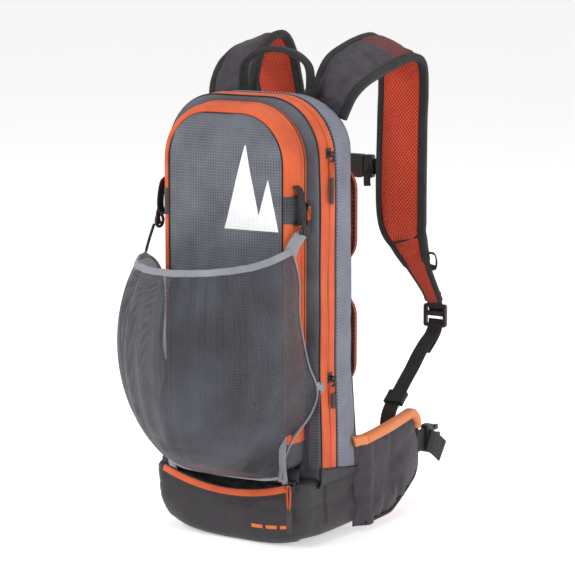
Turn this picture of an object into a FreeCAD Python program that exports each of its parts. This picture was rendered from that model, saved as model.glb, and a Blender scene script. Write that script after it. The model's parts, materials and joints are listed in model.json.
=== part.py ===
"""Slim ski backpack with a fold-down front, a helmet net, hip wings and a sternum strap.

Units are millimetres. +Z is up, -Y is the outer front, +Y is the wearer's side, and the origin is
the middle of the flat bottom of the base.
"""
import FreeCAD, Part
import math
import os

from FreeCAD import Placement, Rotation, Vector

os.makedirs("parts", exist_ok=True)
doc = FreeCAD.newDocument("SkiBackpack")

# Driving dimensions ---------------------------------------------------------------------------

SIZES = {
    # sack
    "half_width": 96, "half_width_top": 92, "pack_height": 470, "crown_radius": 48, "wall": 2.5,
    "back_face": 46, "front_face": -34, "zip_line": -18, "zip_half_gap": 0.3,
    "tape_width": 13, "tape_proud": 0.8, "panel_depth": 6, "flap_bottom": 80,
    # base
    "base_height": 72, "base_front": -61, "base_corner": 12, "rear_corner": 12,
    "smile_radius": 220, "smile_low": 56, "base_tape": 6, "base_tape_proud": 1.6,
    # front pocket
    "pocket_half": 78, "pocket_low": 84, "pocket_top": 464, "pocket_crown": 58, "pocket_foot": 14,
    "pocket_face": -64, "pocket_wall": 2, "piping": 4.5,
    # helmet net
    "net_centre_y": -79, "net_centre_z": 218, "net_half_x": 103, "net_half_y": 112, "net_half_z": 145,
    "net_wall": 1.6, "net_back": -67, "net_rim": 316, "net_binding": 5,
    "cord": 3,
    # back pads
    "pad_half": 84, "pad_depth": 15, "pad_upper_low": 290, "pad_upper_high": 402,
    "pad_lower_low": 158, "pad_lower_high": 254,
    # shoulder straps
    "strap_centre": 67, "strap_width": 58, "strap_depth": 11, "strap_run": 185, "neck_x": 92,
    "webbing_width": 18, "webbing_depth": 2,
    # sternum strap
    "sternum_height": 374, "sternum_plane": 197, "sternum_webbing": 20,
    # hip belt
    "wing_pivot_x": 103.5, "wing_pivot_y": 45, "wing_depth": 10, "wing_reach": 162,
    "hip_webbing": 25, "hip_height": 74,
    # grab handle
    "handle_half": 42, "handle_top": 513, "handle_foot": 480, "handle_y": 33, "handle_width": 16,
    "handle_depth": 3,
    # zip hardware
    "slider_length": 11, "slider_width": 9, "slider_plate": 2.6, "crossbar_offset": 6.4,
    "crossbar_radius": 1, "eye_radius": 3, "eye_clearance": 0.4,
}

sheet = doc.addObject("Spreadsheet::Sheet", "Sizes")
for row, (name, number) in enumerate(SIZES.items(), start=1):
    sheet.set(f"A{row}", name)
    sheet.set(f"B{row}", str(number))
    sheet.setAlias(f"B{row}", name)
doc.recompute()

parts = []


def size(name):
    """A driving dimension, read from the sheet."""
    return float(sheet.get(name))


# Sketch geometry ------------------------------------------------------------------------------


def corner_arc(before, corner, after, radius):
    """Start, middle, end and centre of the arc that rounds a corner."""
    inward = (before - corner).normalize()
    outward = (after - corner).normalize()
    half_angle = inward.getAngle(outward) / 2
    centre = corner + (inward + outward).normalize() * (radius / math.sin(half_angle))
    setback = radius / math.tan(half_angle)
    start = corner + inward * setback
    end = corner + outward * setback
    middle = centre + (corner - centre).normalize() * radius
    return start, middle, end, centre


def outline(corners):
    """Closed outline through (a, b, radius) corners; a radius of 0 leaves a corner sharp."""
    points = [Vector(a, b, 0) for a, b, _ in corners]
    count = len(points)
    arcs = []
    for i, (_, _, radius) in enumerate(corners):
        if radius > 0:
            arcs.append(corner_arc(points[i - 1], points[i], points[(i + 1) % count], radius)[:3])
        else:
            arcs.append((points[i], None, points[i]))
    edges = []
    for i, (start, middle, end) in enumerate(arcs):
        if middle is not None:
            edges.append(Part.Arc(start, middle, end))
        following = arcs[(i + 1) % count][0]
        if (following - end).Length > 1e-6:
            edges.append(Part.LineSegment(end, following))
    return edges


def rectangle(low_a, high_a, low_b, high_b, radius=0):
    return outline([(low_a, low_b, radius), (high_a, low_b, radius),
                    (high_a, high_b, radius), (low_a, high_b, radius)])


def ribbon(points, depth):
    """Closed outline of a band of even depth along a path whose bends are tangent arcs."""
    path = [Vector(a, b, 0) for a, b in points]
    runs = [(after - before) for before, after in zip(path, path[1:])]
    sides = []
    for side in (1, -1):
        offset = side * depth / 2
        edges = []
        normal = Vector(-runs[0].y, runs[0].x, 0).normalize()
        last = path[0] + normal * offset
        for i in range(1, len(path) - 1):
            turn = runs[i - 1].getAngle(runs[i])
            radius = 0.45 * min(runs[i - 1].Length, runs[i].Length) / math.tan(turn / 2)
            start, middle, end, centre = corner_arc(path[i - 1], path[i], path[i + 1], radius)
            left_turn = runs[i - 1].cross(runs[i]).z > 0
            scale = (radius - offset if left_turn else radius + offset) / radius
            start, middle, end = (centre + (p - centre) * scale for p in (start, middle, end))
            edges.append(Part.LineSegment(last, start))
            edges.append(Part.Arc(start, middle, end))
            last = end
        normal = Vector(-runs[-1].y, runs[-1].x, 0).normalize()
        finish = path[-1] + normal * offset
        edges.append(Part.LineSegment(last, finish))
        sides.append((edges, finish))
    first_normal = Vector(-runs[0].y, runs[0].x, 0).normalize() * depth / 2
    caps = [Part.LineSegment(path[0] - first_normal, path[0] + first_normal),
            Part.LineSegment(sides[0][1], sides[1][1])]
    return sides[0][0] + sides[1][0] + caps


def sack_arch(inset, low):
    """The sack's arched front view, drawn this far inside its outer face."""
    top = size("pack_height") - inset
    return outline([(-size("half_width") + inset, low, 0), (size("half_width") - inset, low, 0),
                    (size("half_width_top") - inset, top, size("crown_radius") - inset),
                    (-size("half_width_top") + inset, top, size("crown_radius") - inset)])


def sack_band(outset, inset, low):
    """A U-shaped band along the sack's arch, open at the bottom."""
    corners = []
    for offset, sign in ((outset, 1), (-inset, -1)):
        bottom = size("half_width") + offset
        shoulder = size("half_width_top") + offset
        top = size("pack_height") + offset
        radius = size("crown_radius") + offset
        leg = [(-bottom, low, 0), (-shoulder, top, radius), (shoulder, top, radius), (bottom, low, 0)]
        corners += leg[::sign]
    return outline(corners)


def pocket_outline(inset):
    """The front pocket's outline: an arch with small lower corners."""
    half = size("pocket_half") - inset
    low, top = size("pocket_low") + inset, size("pocket_top") - inset
    foot, crown = size("pocket_foot") - inset, size("pocket_crown") - inset
    return outline([(-half, low, foot), (half, low, foot), (half, top, crown), (-half, top, crown)])


# Bodies ---------------------------------------------------------------------------------------


def keep(piece, label):
    """Name a finished sub-part and list it for export."""
    piece.Label = label
    parts.append(piece)
    return piece


def sketch_on(body, role, edges, start):
    sketch = body.newObject("Sketcher::SketchObject", body.Name + "Sketch")
    plane = [feature for feature in body.Origin.OriginFeatures if feature.Role == role][0]
    sketch.AttachmentSupport = [(plane, "")]
    sketch.MapMode = "FlatFace"
    sketch.setExpression("AttachmentOffset.Base.z", start)
    sketch.addGeometry(edges, False)
    return sketch


def padded(name, role, edges, start, length):
    """A PartDesign body: one sketch on an origin plane, padded along the plane's normal.

    The normals are +Z for XY_Plane, +X for YZ_Plane and -Y for XZ_Plane.
    """
    body = doc.addObject("PartDesign::Body", name)
    sketch = sketch_on(body, role, edges, start)
    pad = body.newObject("PartDesign::Pad", name + "Pad")
    pad.Profile = sketch
    pad.setExpression("Length", length)
    return body


def filleted(body, radius, chosen):
    """Round the edges of the body's tip that the test picks."""
    doc.recompute()
    base = body.Tip
    names = [f"Edge{i}" for i, edge in enumerate(base.Shape.Edges, start=1) if chosen(edge)]
    fillet = body.newObject("PartDesign::Fillet", body.Name + "Fillet")
    fillet.Base = (base, names)
    fillet.setExpression("Radius", radius)
    return body


def boolean(kind, name, base, tool):
    result = doc.addObject("Part::" + kind, name)
    result.Base = base
    result.Tool = tool
    return result


def box(name, low, high):
    """A Part box between two corners, each given as three expressions."""
    block = doc.addObject("Part::Box", name)
    for axis, side, start, end in zip("xyz", ("Length", "Width", "Height"), low, high):
        block.setExpression("Placement.Base." + axis, start)
        block.setExpression(side, f"({end}) - ({start})")
    return block


def mirrored_name(side):
    return "right" if side > 0 else "left"


# Sack -----------------------------------------------------------------------------------------


def make_sack():
    wall = size("wall")
    back = padded("BackPanel", "XZ_Plane", sack_arch(wall + 0.1, size("base_height") + 2),
                  "-Sizes.back_face", "Sizes.panel_depth")
    keep(back, "back_panel")
    stiffener = padded("FrameSheet", "XZ_Plane", sack_arch(14, size("base_height") + 12),
                       "-(Sizes.back_face - Sizes.panel_depth - 0.5)", "3")
    keep(stiffener, "frame_sheet")
    sleeve = padded("BladderSleeve", "XZ_Plane", rectangle(-70, 70, 110, 390, 20),
                    "-(Sizes.back_face - Sizes.panel_depth - 6)", "3")
    keep(sleeve, "bladder_sleeve")
    for side in (-1, 1):
        bottom, shoulder = size("half_width"), size("half_width_top")
        top, radius = size("pack_height"), size("crown_radius")
        flat = shoulder - radius
        corners = [(bottom, size("base_height"), 0), (shoulder, top, radius), (flat, top, 0),
                   (flat, top - wall, 0), (shoulder - wall, top - wall, radius - wall),
                   (bottom - wall, size("base_height"), 0)]
        panel = padded("SidePanel" + mirrored_name(side), "XZ_Plane",
                       outline([(side * a, b, r) for a, b, r in corners]),
                       "-Sizes.back_face", "Sizes.back_face - Sizes.zip_line - Sizes.tape_width - 0.5")
        keep(panel, "side_panel_" + mirrored_name(side))
    top_panel = box("TopPanel",
                    ("-(Sizes.half_width_top - Sizes.crown_radius) + 0.1",
                     "Sizes.zip_line + Sizes.tape_width + 0.5", "Sizes.pack_height - Sizes.wall"),
                    ("Sizes.half_width_top - Sizes.crown_radius - 0.1", "Sizes.back_face", "Sizes.pack_height"))
    keep(top_panel, "top_panel")


def tub(name, inset, low, fillet):
    """The base's outer or inner form: a rounded box with a rounded bottom edge."""
    half = size("half_width") - 1 - inset
    front, back = size("base_front") + inset, size("back_face") - inset
    corner, rear = size("base_corner") - inset, size("rear_corner") - inset
    body = padded(name, "XY_Plane",
                  outline([(-half, front, corner), (half, front, corner), (half, back, rear), (-half, back, rear)]),
                  str(low), f"Sizes.base_height - {low}")
    return filleted(body, fillet, lambda edge: edge.BoundBox.ZMax < low + 0.1)


def make_base():
    wall = size("wall")
    outer = tub("BaseOuter", 0, 0, "Sizes.rear_corner - 1")
    inner = tub("BaseInner", wall, wall, "Sizes.rear_corner - Sizes.wall - 1")
    shell = boolean("Cut", "BaseHollow", outer, inner)
    mouth = doc.addObject("Part::Cylinder", "PocketMouth")
    mouth.setExpression("Radius", "Sizes.smile_radius")
    mouth.Height = 24
    mouth.Placement = Placement(Vector(), Rotation(Vector(1, 0, 0), -90))
    mouth.setExpression("Placement.Base.y", "Sizes.base_front - 12")
    mouth.setExpression("Placement.Base.z", "Sizes.smile_low + Sizes.smile_radius")
    keep(boolean("Cut", "BaseShell", shell, mouth), "base_shell")

    half = size("half_width") - 1 - wall - 0.3
    divider = padded("BaseDivider", "XZ_Plane",
                     outline([(-half, size("base_height") - 1, 0), (-half, wall + 0.3, 15),
                              (half, wall + 0.3, 15), (half, size("base_height") - 1, 0)]),
                     "-Sizes.front_face - 2.5", "2.5")
    keep(divider, "base_divider")

    centre = Vector(0, size("smile_low") + size("smile_radius"), 0)
    inner_radius, outer_radius = size("smile_radius"), size("smile_radius") + size("base_tape")
    reach = math.radians(19.5)

    def on_arc(radius, angle):
        return centre + Vector(math.sin(angle), -math.cos(angle), 0) * radius

    tape_edges = [Part.Arc(on_arc(inner_radius, -reach), on_arc(inner_radius, 0), on_arc(inner_radius, reach)),
                  Part.LineSegment(on_arc(inner_radius, reach), on_arc(outer_radius, reach)),
                  Part.Arc(on_arc(outer_radius, reach), on_arc(outer_radius, 0), on_arc(outer_radius, -reach)),
                  Part.LineSegment(on_arc(outer_radius, -reach), on_arc(inner_radius, -reach))]
    keep(padded("BaseTapeLower", "XZ_Plane", tape_edges, "-Sizes.base_front", "Sizes.base_tape_proud"),
         "base_zip_tape_lower")

    corners = []
    for offset, sign in ((0.5, 1), (-2, -1)):
        half = size("half_width") - 1 + offset
        front, radius = size("base_front") - offset, size("base_corner") + offset
        corners += [(-half, -36, 0), (-half, front, radius), (half, front, radius), (half, -36, 0)][::sign]
    keep(padded("BaseTapeUpper", "XY_Plane", outline(corners), "Sizes.base_height + 0.3", "3.5"),
         "base_zip_tape_upper")


def make_main_tapes():
    """The two tapes of the U-shaped main zip, one sewn to the sack and one to the front flap."""
    rear = padded("MainTapeRear", "XZ_Plane",
                  sack_band(size("tape_proud"), size("wall"), size("base_height") + 0.3),
                  "-(Sizes.zip_line + Sizes.zip_half_gap + Sizes.tape_width)", "Sizes.tape_width")
    keep(rear, "main_zip_tape_rear")
    front = padded("MainTapeFront", "XZ_Plane",
                   sack_band(size("tape_proud"), size("wall"), size("flap_bottom")),
                   "-(Sizes.zip_line - Sizes.zip_half_gap)", "Sizes.tape_width")
    keep(front, "main_zip_tape_front")


# Front flap -----------------------------------------------------------------------------------


def make_flap():
    panel = padded("FrontPanel", "XZ_Plane", sack_arch(0, size("flap_bottom")), "-Sizes.front_face - 2.5", "2.5")
    keep(panel, "front_panel")
    face = padded("PocketFace", "XZ_Plane", pocket_outline(2.2),
                  "-Sizes.pocket_face - Sizes.pocket_wall", "Sizes.pocket_wall")
    keep(face, "pocket_face")
    gusset = padded("PocketGusset", "XZ_Plane", pocket_outline(0) + pocket_outline(size("pocket_wall")),
                    "-Sizes.front_face", "Sizes.front_face - Sizes.pocket_face")
    keep(gusset, "pocket_gusset")
    piping = padded("PocketPiping", "XZ_Plane", pocket_outline(-1.5) + pocket_outline(size("piping") - 1.5),
                    "-Sizes.pocket_face", "2")
    keep(piping, "pocket_piping")

    half, top, crown = size("pocket_half"), size("pocket_top"), size("pocket_crown")
    low = 190
    corners = []
    for offset, sign in ((1.2, 1), (0.1, -1)):
        corners += [(-half - offset, low, 0), (-half - offset, top + offset, crown + offset),
                    (half + offset, top + offset, crown + offset), (half + offset, low, 0)][::sign]
    keep(padded("PocketZipTape", "XZ_Plane", outline(corners), "36", "8"), "pocket_zip_tape")


def net_shell(name, grow, thick):
    """An ellipsoid shell of the loaded net, grown by this much, of this thickness."""
    shells = []
    for suffix, offset in (("Outer", grow), ("Inner", grow - thick)):
        shell = doc.addObject("Part::Ellipsoid", name + suffix)
        shell.setExpression("Radius1", f"Sizes.net_half_z + {offset}")
        shell.setExpression("Radius2", f"Sizes.net_half_x + {offset}")
        shell.setExpression("Radius3", f"Sizes.net_half_y + {offset}")
        shell.setExpression("Placement.Base.y", "Sizes.net_centre_y")
        shell.setExpression("Placement.Base.z", "Sizes.net_centre_z")
        shells.append(shell)
    return boolean("Cut", name + "Shell", *shells)


def make_net():
    kept = box("NetKept", ("-150", "-250", "40"), ("150", "Sizes.net_back", "Sizes.net_rim"))
    keep(boolean("Common", "HelmetNet", net_shell("Net", 0, size("net_wall")), kept), "helmet_net")
    rim = box("RimKept", ("-150", "-250", "Sizes.net_rim + 0.1"),
              ("150", "Sizes.net_back", "Sizes.net_rim + Sizes.net_binding"))
    keep(boolean("Common", "NetBinding", net_shell("Rim", 1, 3.6), rim), "net_binding")

    bands = padded("NetBands", "XZ_Plane",
                   [edge for side in (-1, 1) for edge in rectangle(side * 71 - 5, side * 71 + 5, 86, 124, 2)],
                   "-Sizes.pocket_face + 2.1", "0.8")
    keep(bands, "net_bands")

    loops = padded("GearLoops", "XZ_Plane",
                   [edge for side in (-1, 1)
                    for edge in ribbon([(side * 79, 380), (side * 86, 372), (side * 87, 350), (side * 79, 342)], 1.8)],
                   "50", "11")
    keep(loops, "gear_loops")
    hooks = doc.addObject("Part::Feature", "NetHooks")
    hooks.Shape = Part.makeCompound([
        Part.makeTorus(6.5, 1.6, Vector(side * 90, -56, 334), Vector(1, 0, 0)) for side in (-1, 1)])
    keep(hooks, "net_hooks")

    # the cord and the tab that tie the net's upper corners to their hooks
    ties = {"net_cord": [(-90, -66, 331), (-89, -77, 317), (-86, -88, 302)],
            "net_tab": [(90, -66, 331), (88.5, -70, 325.5), (86, -73, 319)]}
    for name, route in ties.items():
        tie = doc.addObject("Part::Feature", name.title().replace("_", ""))
        tie.Shape = tube([Vector(*point) for point in route], size("cord") / 2)
        keep(tie, name)


def tube(points, radius):
    """A round cord along straight runs joined by tangent arcs."""
    edges = []
    last = points[0]
    for before, corner, after in zip(points, points[1:], points[2:]):
        turn = (corner - before).getAngle(after - corner)
        bend = 0.45 * min((corner - before).Length, (after - corner).Length) / math.tan(turn / 2)
        start, middle, end, _ = corner_arc(before, corner, after, bend)
        print(f"cord bend radius {bend:.1f}")
        edges.append(Part.LineSegment(last, start).toShape())
        edges.append(Part.Arc(start, middle, end).toShape())
        last = end
    edges.append(Part.LineSegment(last, points[-1]).toShape())
    path = Part.Wire(edges)
    circle = Part.Circle(points[0], points[1] - points[0], radius)
    cord = path.makePipeShell([Part.Wire(circle.toShape())], True, False)
    print(f"cord volume over section times length {cord.Volume / (math.pi * radius ** 2 * path.Length):.4f}")
    return cord


# Back and shoulder straps ---------------------------------------------------------------------


def make_back_pads():
    for name, low, high in (("upper", "pad_upper_low", "pad_upper_high"), ("lower", "pad_lower_low", "pad_lower_high")):
        half = size("pad_half")
        body = padded("BackPad" + name, "XZ_Plane", rectangle(-half, half, size(low), size(high), 22),
                      "-(Sizes.back_face + Sizes.pad_depth)", "Sizes.pad_depth")
        filleted(body, "5", lambda edge: edge.BoundBox.YMin > size("back_face") + size("pad_depth") - 0.1)
        keep(body, "back_pad_" + name)
    body = padded("LumbarPad", "XZ_Plane", rectangle(-78, 78, 14, 128, 24), "-(Sizes.back_face + 11)", "11")
    filleted(body, "4", lambda edge: edge.BoundBox.YMin > size("back_face") + 10.9)
    keep(body, "lumbar_pad")


# Stations of each strap's middle: (y, z, roll), where roll drops its outer edge over the shoulder.
RISING_STATIONS = {
    1: [(52.5, 446, 0), (53, 470, 8), (68, 490, 22), (102, 501, 27), (142, 509, 26), (168, 509, 22),
        (184, 494, 14), (187, 462, 5)],
    -1: [(52.5, 446, 0), (53, 472, 8), (68, 499, 18), (94, 514, 18), (115, 514, 17), (131, 496, 12),
         (141, 470, 8), (152, 446, 3)],
}
# Stations of the narrowing lower end: (shift outwards, y, z, width).
LOWER_STATIONS = [(0, 0, 325, 58), (7, 5, 292, 44), (16, 13, 264, 28), (24, 24, 238, 20), (25, 31, 226, 20)]

# The webbing's run from the ladder lock, in y and z, and the stretch below it that is sewn to the wing.
UPPER_WEBBING = [(217, 190), (186, 175), (155.2, 147.1)]
LOWER_WEBBING = [(154, 146), (118, 119), (112, 104)]
KEEPER_REST = 17


def strap_stations(side):
    """Middle, roll in degrees and width at each station of one shoulder strap."""
    centre, width, run = size("strap_centre"), size("strap_width"), size("strap_run")
    stations = [(Vector(side * centre, y, z), roll, width) for y, z, roll in RISING_STATIONS[side]]
    stations.append((Vector(side * centre, run, 424), 0, width))
    for shift, back, z, narrow in LOWER_STATIONS:
        stations.append((Vector(side * (centre + shift), run + back, z), 0, narrow))
    return stations


def lofted_strap(side):
    """A flat padded band through the strap's stations."""
    stations = strap_stations(side)
    middles = [station[0] for station in stations]
    depth = size("strap_depth")
    sections = []
    for i, (middle, roll, width) in enumerate(stations):
        tangent = (middles[min(i + 1, len(middles) - 1)] - middles[max(i - 1, 0)]).normalize()
        if i > len(RISING_STATIONS[side]) - 1 and middle.z > 320:
            tangent = Vector(0, 0, -1)
        angle = math.radians(roll)
        across = Vector(math.cos(angle), 0, -side * math.sin(angle))
        across = (across - tangent * across.dot(tangent)).normalize()
        through = tangent.cross(across)
        corners = [middle + across * (a * width / 2) + through * (b * depth / 2)
                   for a, b in ((-1, -1), (1, -1), (1, 1), (-1, 1))]
        sections.append(Part.makePolygon(corners + corners[:1]))
    return Part.makeLoft(sections, True, True)


def make_straps():
    for side in (-1, 1):
        name = mirrored_name(side)
        strap = doc.addObject("Part::Feature", "ShoulderStrap" + name)
        strap.Shape = lofted_strap(side)
        keep(strap, "shoulder_strap_" + name)

        half = size("webbing_width") / 2
        centre = side * size("neck_x")
        lock = padded("LadderLock" + name, "XZ_Plane",
                      [edge for part in (rectangle(centre - 14, centre + 14, 195, 221, 3),
                                         rectangle(centre - 10.5, centre + 10.5, 213, 217, 0.8),
                                         rectangle(centre - 10.5, centre + 10.5, 198.5, 207.5, 0.8))
                       for edge in part], "-222", "4.5")
        keep(lock, "ladder_lock_" + name)
        webbing = padded("StrapWebbing" + name, "YZ_Plane", ribbon(UPPER_WEBBING, size("webbing_depth")),
                         str(centre - half), "Sizes.webbing_width")
        keep(webbing, "strap_webbing_" + name)

        (start_y, start_z), (end_y, end_z) = LOWER_WEBBING[1], LOWER_WEBBING[0]
        run = Vector(0, end_y - start_y, end_z - start_z)
        angle = math.degrees(math.atan2(run.z, run.y))
        sleeve = doc.addObject("Part::Feature", "Keeper" + name)
        outer_block = Part.makeBox(22, 13, 6, Vector(-11, -6.5, -3))
        inner_block = Part.makeBox(18.8, 14, 3, Vector(-9.4, -7, -1.5))
        sleeve.Shape = outer_block.cut(inner_block)
        sleeve.Placement = Placement(Vector(centre, start_y, start_z) + run.normalize() * KEEPER_REST,
                                     Rotation(Vector(1, 0, 0), angle))
        keep(sleeve, "webbing_keeper_" + name)


def make_handle():
    half, top, foot = size("handle_half"), size("handle_top"), size("handle_foot")
    low = foot - size("handle_width") / 2
    path = [(-half, low), (-half + 2, foot + 18), (-half + 20, top - 3), (0, top),
            (half - 20, top - 3), (half - 2, foot + 18), (half, low)]
    front = padded("HandleFront", "XZ_Plane", ribbon(path, size("handle_depth")),
                   "-(Sizes.handle_y + Sizes.handle_width / 2)", "Sizes.handle_width")
    radius = size("handle_width") / 2
    y = size("handle_y")
    side = padded("HandleSide", "YZ_Plane",
                  outline([(y - radius, low, radius - 0.01), (y + radius, low, radius - 0.01),
                           (y + radius, top + 5, 0), (y - radius, top + 5, 0)]), "-60", "120")
    keep(boolean("Common", "GrabHandle", front, side), "grab_handle")


# Buckles --------------------------------------------------------------------------------------


def make_buckle(name, prefix, scale, female_at, male_at):
    """A side-release buckle as female, male and two prongs; each half has its own placement.

    In its own frame the male half goes in along -X, the buckle is flat in XZ and its width is in Z.
    """

    def block(low, high):
        low, high = Vector(*low) * scale, Vector(*high) * scale
        return Part.makeBox(*(high - low), low)

    def rounded(shape, radius):
        edges = [edge for edge in shape.Edges if abs(edge.tangentAt(edge.FirstParameter).y) > 0.99]
        return shape.makeFillet(radius * scale, edges)

    female = rounded(block((-12, -4.5, -13), (12, 4.5, 13)), 3)
    female = female.cut(block((-6, -2.6, -10), (13, 2.6, 10)))
    female = female.cut(block((-1, -2.6, -14), (6, 2.6, 14)))
    female = female.cut(block((-10.5, -5, -10), (-8.5, 5, 10)))
    male = rounded(block((12.6, -3.5, -13), (24, 3.5, 13)), 2.5)
    male = male.cut(block((20, -4, -10), (22.2, 4, 10)))
    male = male.cut(block((12, -2.2, 4), (17, 2.2, 9.9))).cut(block((12, -2.2, -9.9), (17, 2.2, -4)))
    male = male.fuse(block((-4, -1.8, -1.5), (12.6, 1.8, 1.5)))
    shapes = {"buckle_female": (female, female_at), "buckle_male": (male, male_at)}
    for end, sign in (("upper", 1), ("lower", -1)):
        arm = block((6, -1.8, 5.2), (15.2, 1.8, 7.4)).fuse(block((0.5, -1.8, 5.2), (6, 1.8, 9.7)))
        pin = Part.makeCylinder(1.6 * scale, 3.6 * scale, Vector(15.2, -1.8, 6.8) * scale, Vector(0, 1, 0))
        prong = arm.fuse(pin).removeSplitter()
        if sign < 0:
            prong = prong.mirror(Vector(), Vector(0, 0, 1))
        shapes["prong_" + end] = (prong, male_at)
    for suffix, (shape, place) in shapes.items():
        piece = doc.addObject("Part::Feature", name + suffix.replace("_", ""))
        piece.Shape = shape
        piece.Placement = place
        keep(piece, prefix + "_" + suffix)


def make_sternum_strap():
    plane, height = size("sternum_plane"), size("sternum_height")
    half = size("sternum_webbing") / 2
    for side in (-1, 1):
        name = mirrored_name(side)
        low, high = sorted((side * 54, side * 78))
        slider = padded("SternumSlider" + name, "XZ_Plane", rectangle(low, high, height - 14, height + 14, 3),
                        "-(Sizes.sternum_plane + 3.2)", "8.8")
        slot = padded("SternumSlot" + name, "XZ_Plane",
                      rectangle(low - 2, high + 2, height - half - 0.6, height + half + 0.6),
                      "-(Sizes.sternum_plane + 1.6)", "3.2")
        keep(boolean("Cut", "SternumSliderSlotted" + name, slider, slot), "sternum_slider_" + name)
    left = padded("SternumWebbingLeft", "XZ_Plane", rectangle(-76, -12.2, height - 9, height + 9),
                  "-(Sizes.sternum_plane + 0.9)", "1.8")
    keep(left, "sternum_webbing_left")
    right = padded("SternumWebbingRight", "XZ_Plane", rectangle(24.2, 76, height - 9, height + 9),
                   "-(Sizes.sternum_plane + 0.9)", "1.8")
    keep(right, "sternum_webbing_right")
    place = Placement(Vector(0, plane, height), Rotation())
    make_buckle("Sternum", "sternum", 1.0, place, place)


def make_hip_belt():
    pivot_x, pivot_y, depth = size("wing_pivot_x"), size("wing_pivot_y"), size("wing_depth")
    reach, height = size("wing_reach"), size("hip_height")
    for side in (-1, 1):
        name = mirrored_name(side)
        plan = ribbon([(side * pivot_x, pivot_y), (side * (pivot_x + 2), 84), (side * (pivot_x + 2), 124),
                       (side * (pivot_x - 3), reach)], depth)
        band = padded("WingBand" + name, "XY_Plane", plan, "0", "130")
        profile = padded("WingProfile" + name, "YZ_Plane",
                         outline([(pivot_y - 8, 6, 8), (96, 12, 20), (reach + 2, 40, 14), (reach + 2, 106, 8),
                                  (146, 114, 10), (pivot_y - 8, 104, 8)]), "-130", "260")
        keep(boolean("Common", "HipWing" + name, band, profile), "hip_wing_" + name)
        belt = padded("HipWebbing" + name, "XY_Plane",
                      ribbon([(side * (pivot_x - 2.8), reach - 6), (side * (pivot_x - 4), reach + 8),
                              (side * (pivot_x - 4.2), reach + 18)], size("webbing_depth")),
                      "Sizes.hip_height - Sizes.hip_webbing / 2", "Sizes.hip_webbing")
        anchor = padded("AnchorWebbing" + name, "YZ_Plane", ribbon(LOWER_WEBBING, size("webbing_depth")),
                        str(side * size("neck_x") - size("webbing_width") / 2), "Sizes.webbing_width")
        both = doc.addObject("Part::Compound", "WingWebbing" + name)
        both.Links = [belt, anchor]
        keep(both, "wing_webbing_" + name)
    centre_x, centre_y = pivot_x - 4.2, reach + 44
    turned = Rotation(Vector(0, 0, 1), -90)
    scale = 1.2
    female_at = Placement(Vector(-centre_x, centre_y - 8.4, height), turned)
    male_at = Placement(Vector(centre_x, centre_y + 6, height), turned)
    female_at.Rotation = Rotation(Vector(0, 0, 1), 90)
    make_buckle("Hip", "hip", scale, female_at, male_at)


# Zip hardware ---------------------------------------------------------------------------------


def make_slider(name, place, pull_length):
    """A zip slider with a crossbar, and a cord pull whose eye swings on the crossbar.

    In its own frame the tape's surface is the YZ plane, and the pull hangs along -Z.
    """
    length, width, plate = size("slider_length"), size("slider_width"), size("slider_plate")
    offset, bar = size("crossbar_offset"), size("crossbar_radius")
    eye = size("eye_radius")
    body = Part.makeBox(plate, width, length, Vector(0.3, -width / 2, -length / 2))
    body = body.makeFillet(1.2, [edge for edge in body.Edges if edge.BoundBox.XMin > plate])
    for sign in (-1, 1):
        lug = Part.makeBox(offset + 1, 1.4, 4, Vector(0.3, sign * 3.3 - 0.7, -2))
        body = body.fuse(lug)
    crossbar = Part.makeCylinder(bar, 6.6, Vector(offset, -3.3, 0), Vector(0, 1, 0))
    slider = doc.addObject("Part::Feature", name.title().replace("_", "") + "Slider")
    slider.Shape = body.fuse(crossbar).removeSplitter()
    slider.Placement = place
    keep(slider, name + "_slider")

    ring = Part.makeCylinder(eye, 3, Vector(offset, -1.5, 0), Vector(0, 1, 0))
    shank = Part.makeBox(1.8, 3, pull_length * 0.45, Vector(offset - 0.9, -1.5, -pull_length * 0.45 - 1.5))
    grip = Part.makeBox(3.2, 5.4, pull_length * 0.55, Vector(offset - 1.6, -2.7, -pull_length))
    grip = grip.makeFillet(1, grip.Edges)
    hole = Part.makeCylinder(bar + size("eye_clearance"), 4, Vector(offset, -2, 0), Vector(0, 1, 0))
    pull = doc.addObject("Part::Feature", name.title().replace("_", "") + "Pull")
    pull.Shape = ring.fuse([shank, grip]).cut(hole).removeSplitter()
    pull.Placement = place
    keep(pull, name + "_pull")


def make_zip_hardware():
    to_front = Rotation(Vector(0, 0, 1), -90)

    def side_at(height):
        """The outer face of the main tape at this height, where the side leans inwards."""
        lean = (size("half_width") - size("half_width_top")) / (size("pack_height") - size("base_height"))
        return size("half_width") + size("tape_proud") - lean * (height - size("base_height"))

    for name, height, length in (("main_upper", 412, 52), ("main_lower", 178, 32)):
        make_slider(name, Placement(Vector(side_at(height) + 0.2, size("zip_line"), height), Rotation()), length)
    make_slider("pocket", Placement(Vector(size("pocket_half") + 1.2, -40, 357), Rotation()), 26)
    x = size("half_width") - 1 - size("base_corner") - 3
    z = size("smile_low") + size("smile_radius") - math.sqrt((size("smile_radius") + 2) ** 2 - x ** 2)
    make_slider("base", Placement(Vector(x, size("base_front") - size("base_tape_proud"), z), to_front), 48)


make_sack()
make_base()
make_main_tapes()
make_flap()
make_net()
make_back_pads()
make_straps()
make_handle()
make_sternum_strap()
make_hip_belt()
make_zip_hardware()
doc.recompute()

for item in doc.Objects:
    if "Invalid" in item.State or "Error" in item.State:
        raise RuntimeError(f"{item.Label} failed: {item.State}")
for piece in parts:
    if piece.Shape.isNull() or not piece.Shape.isValid():
        raise RuntimeError(f"{piece.Label} has no valid shape")
for piece in parts:
    piece.Shape.exportStep(os.path.join("parts", piece.Label + ".step"))
print(f"{len(parts)} sub-parts written")
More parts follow.
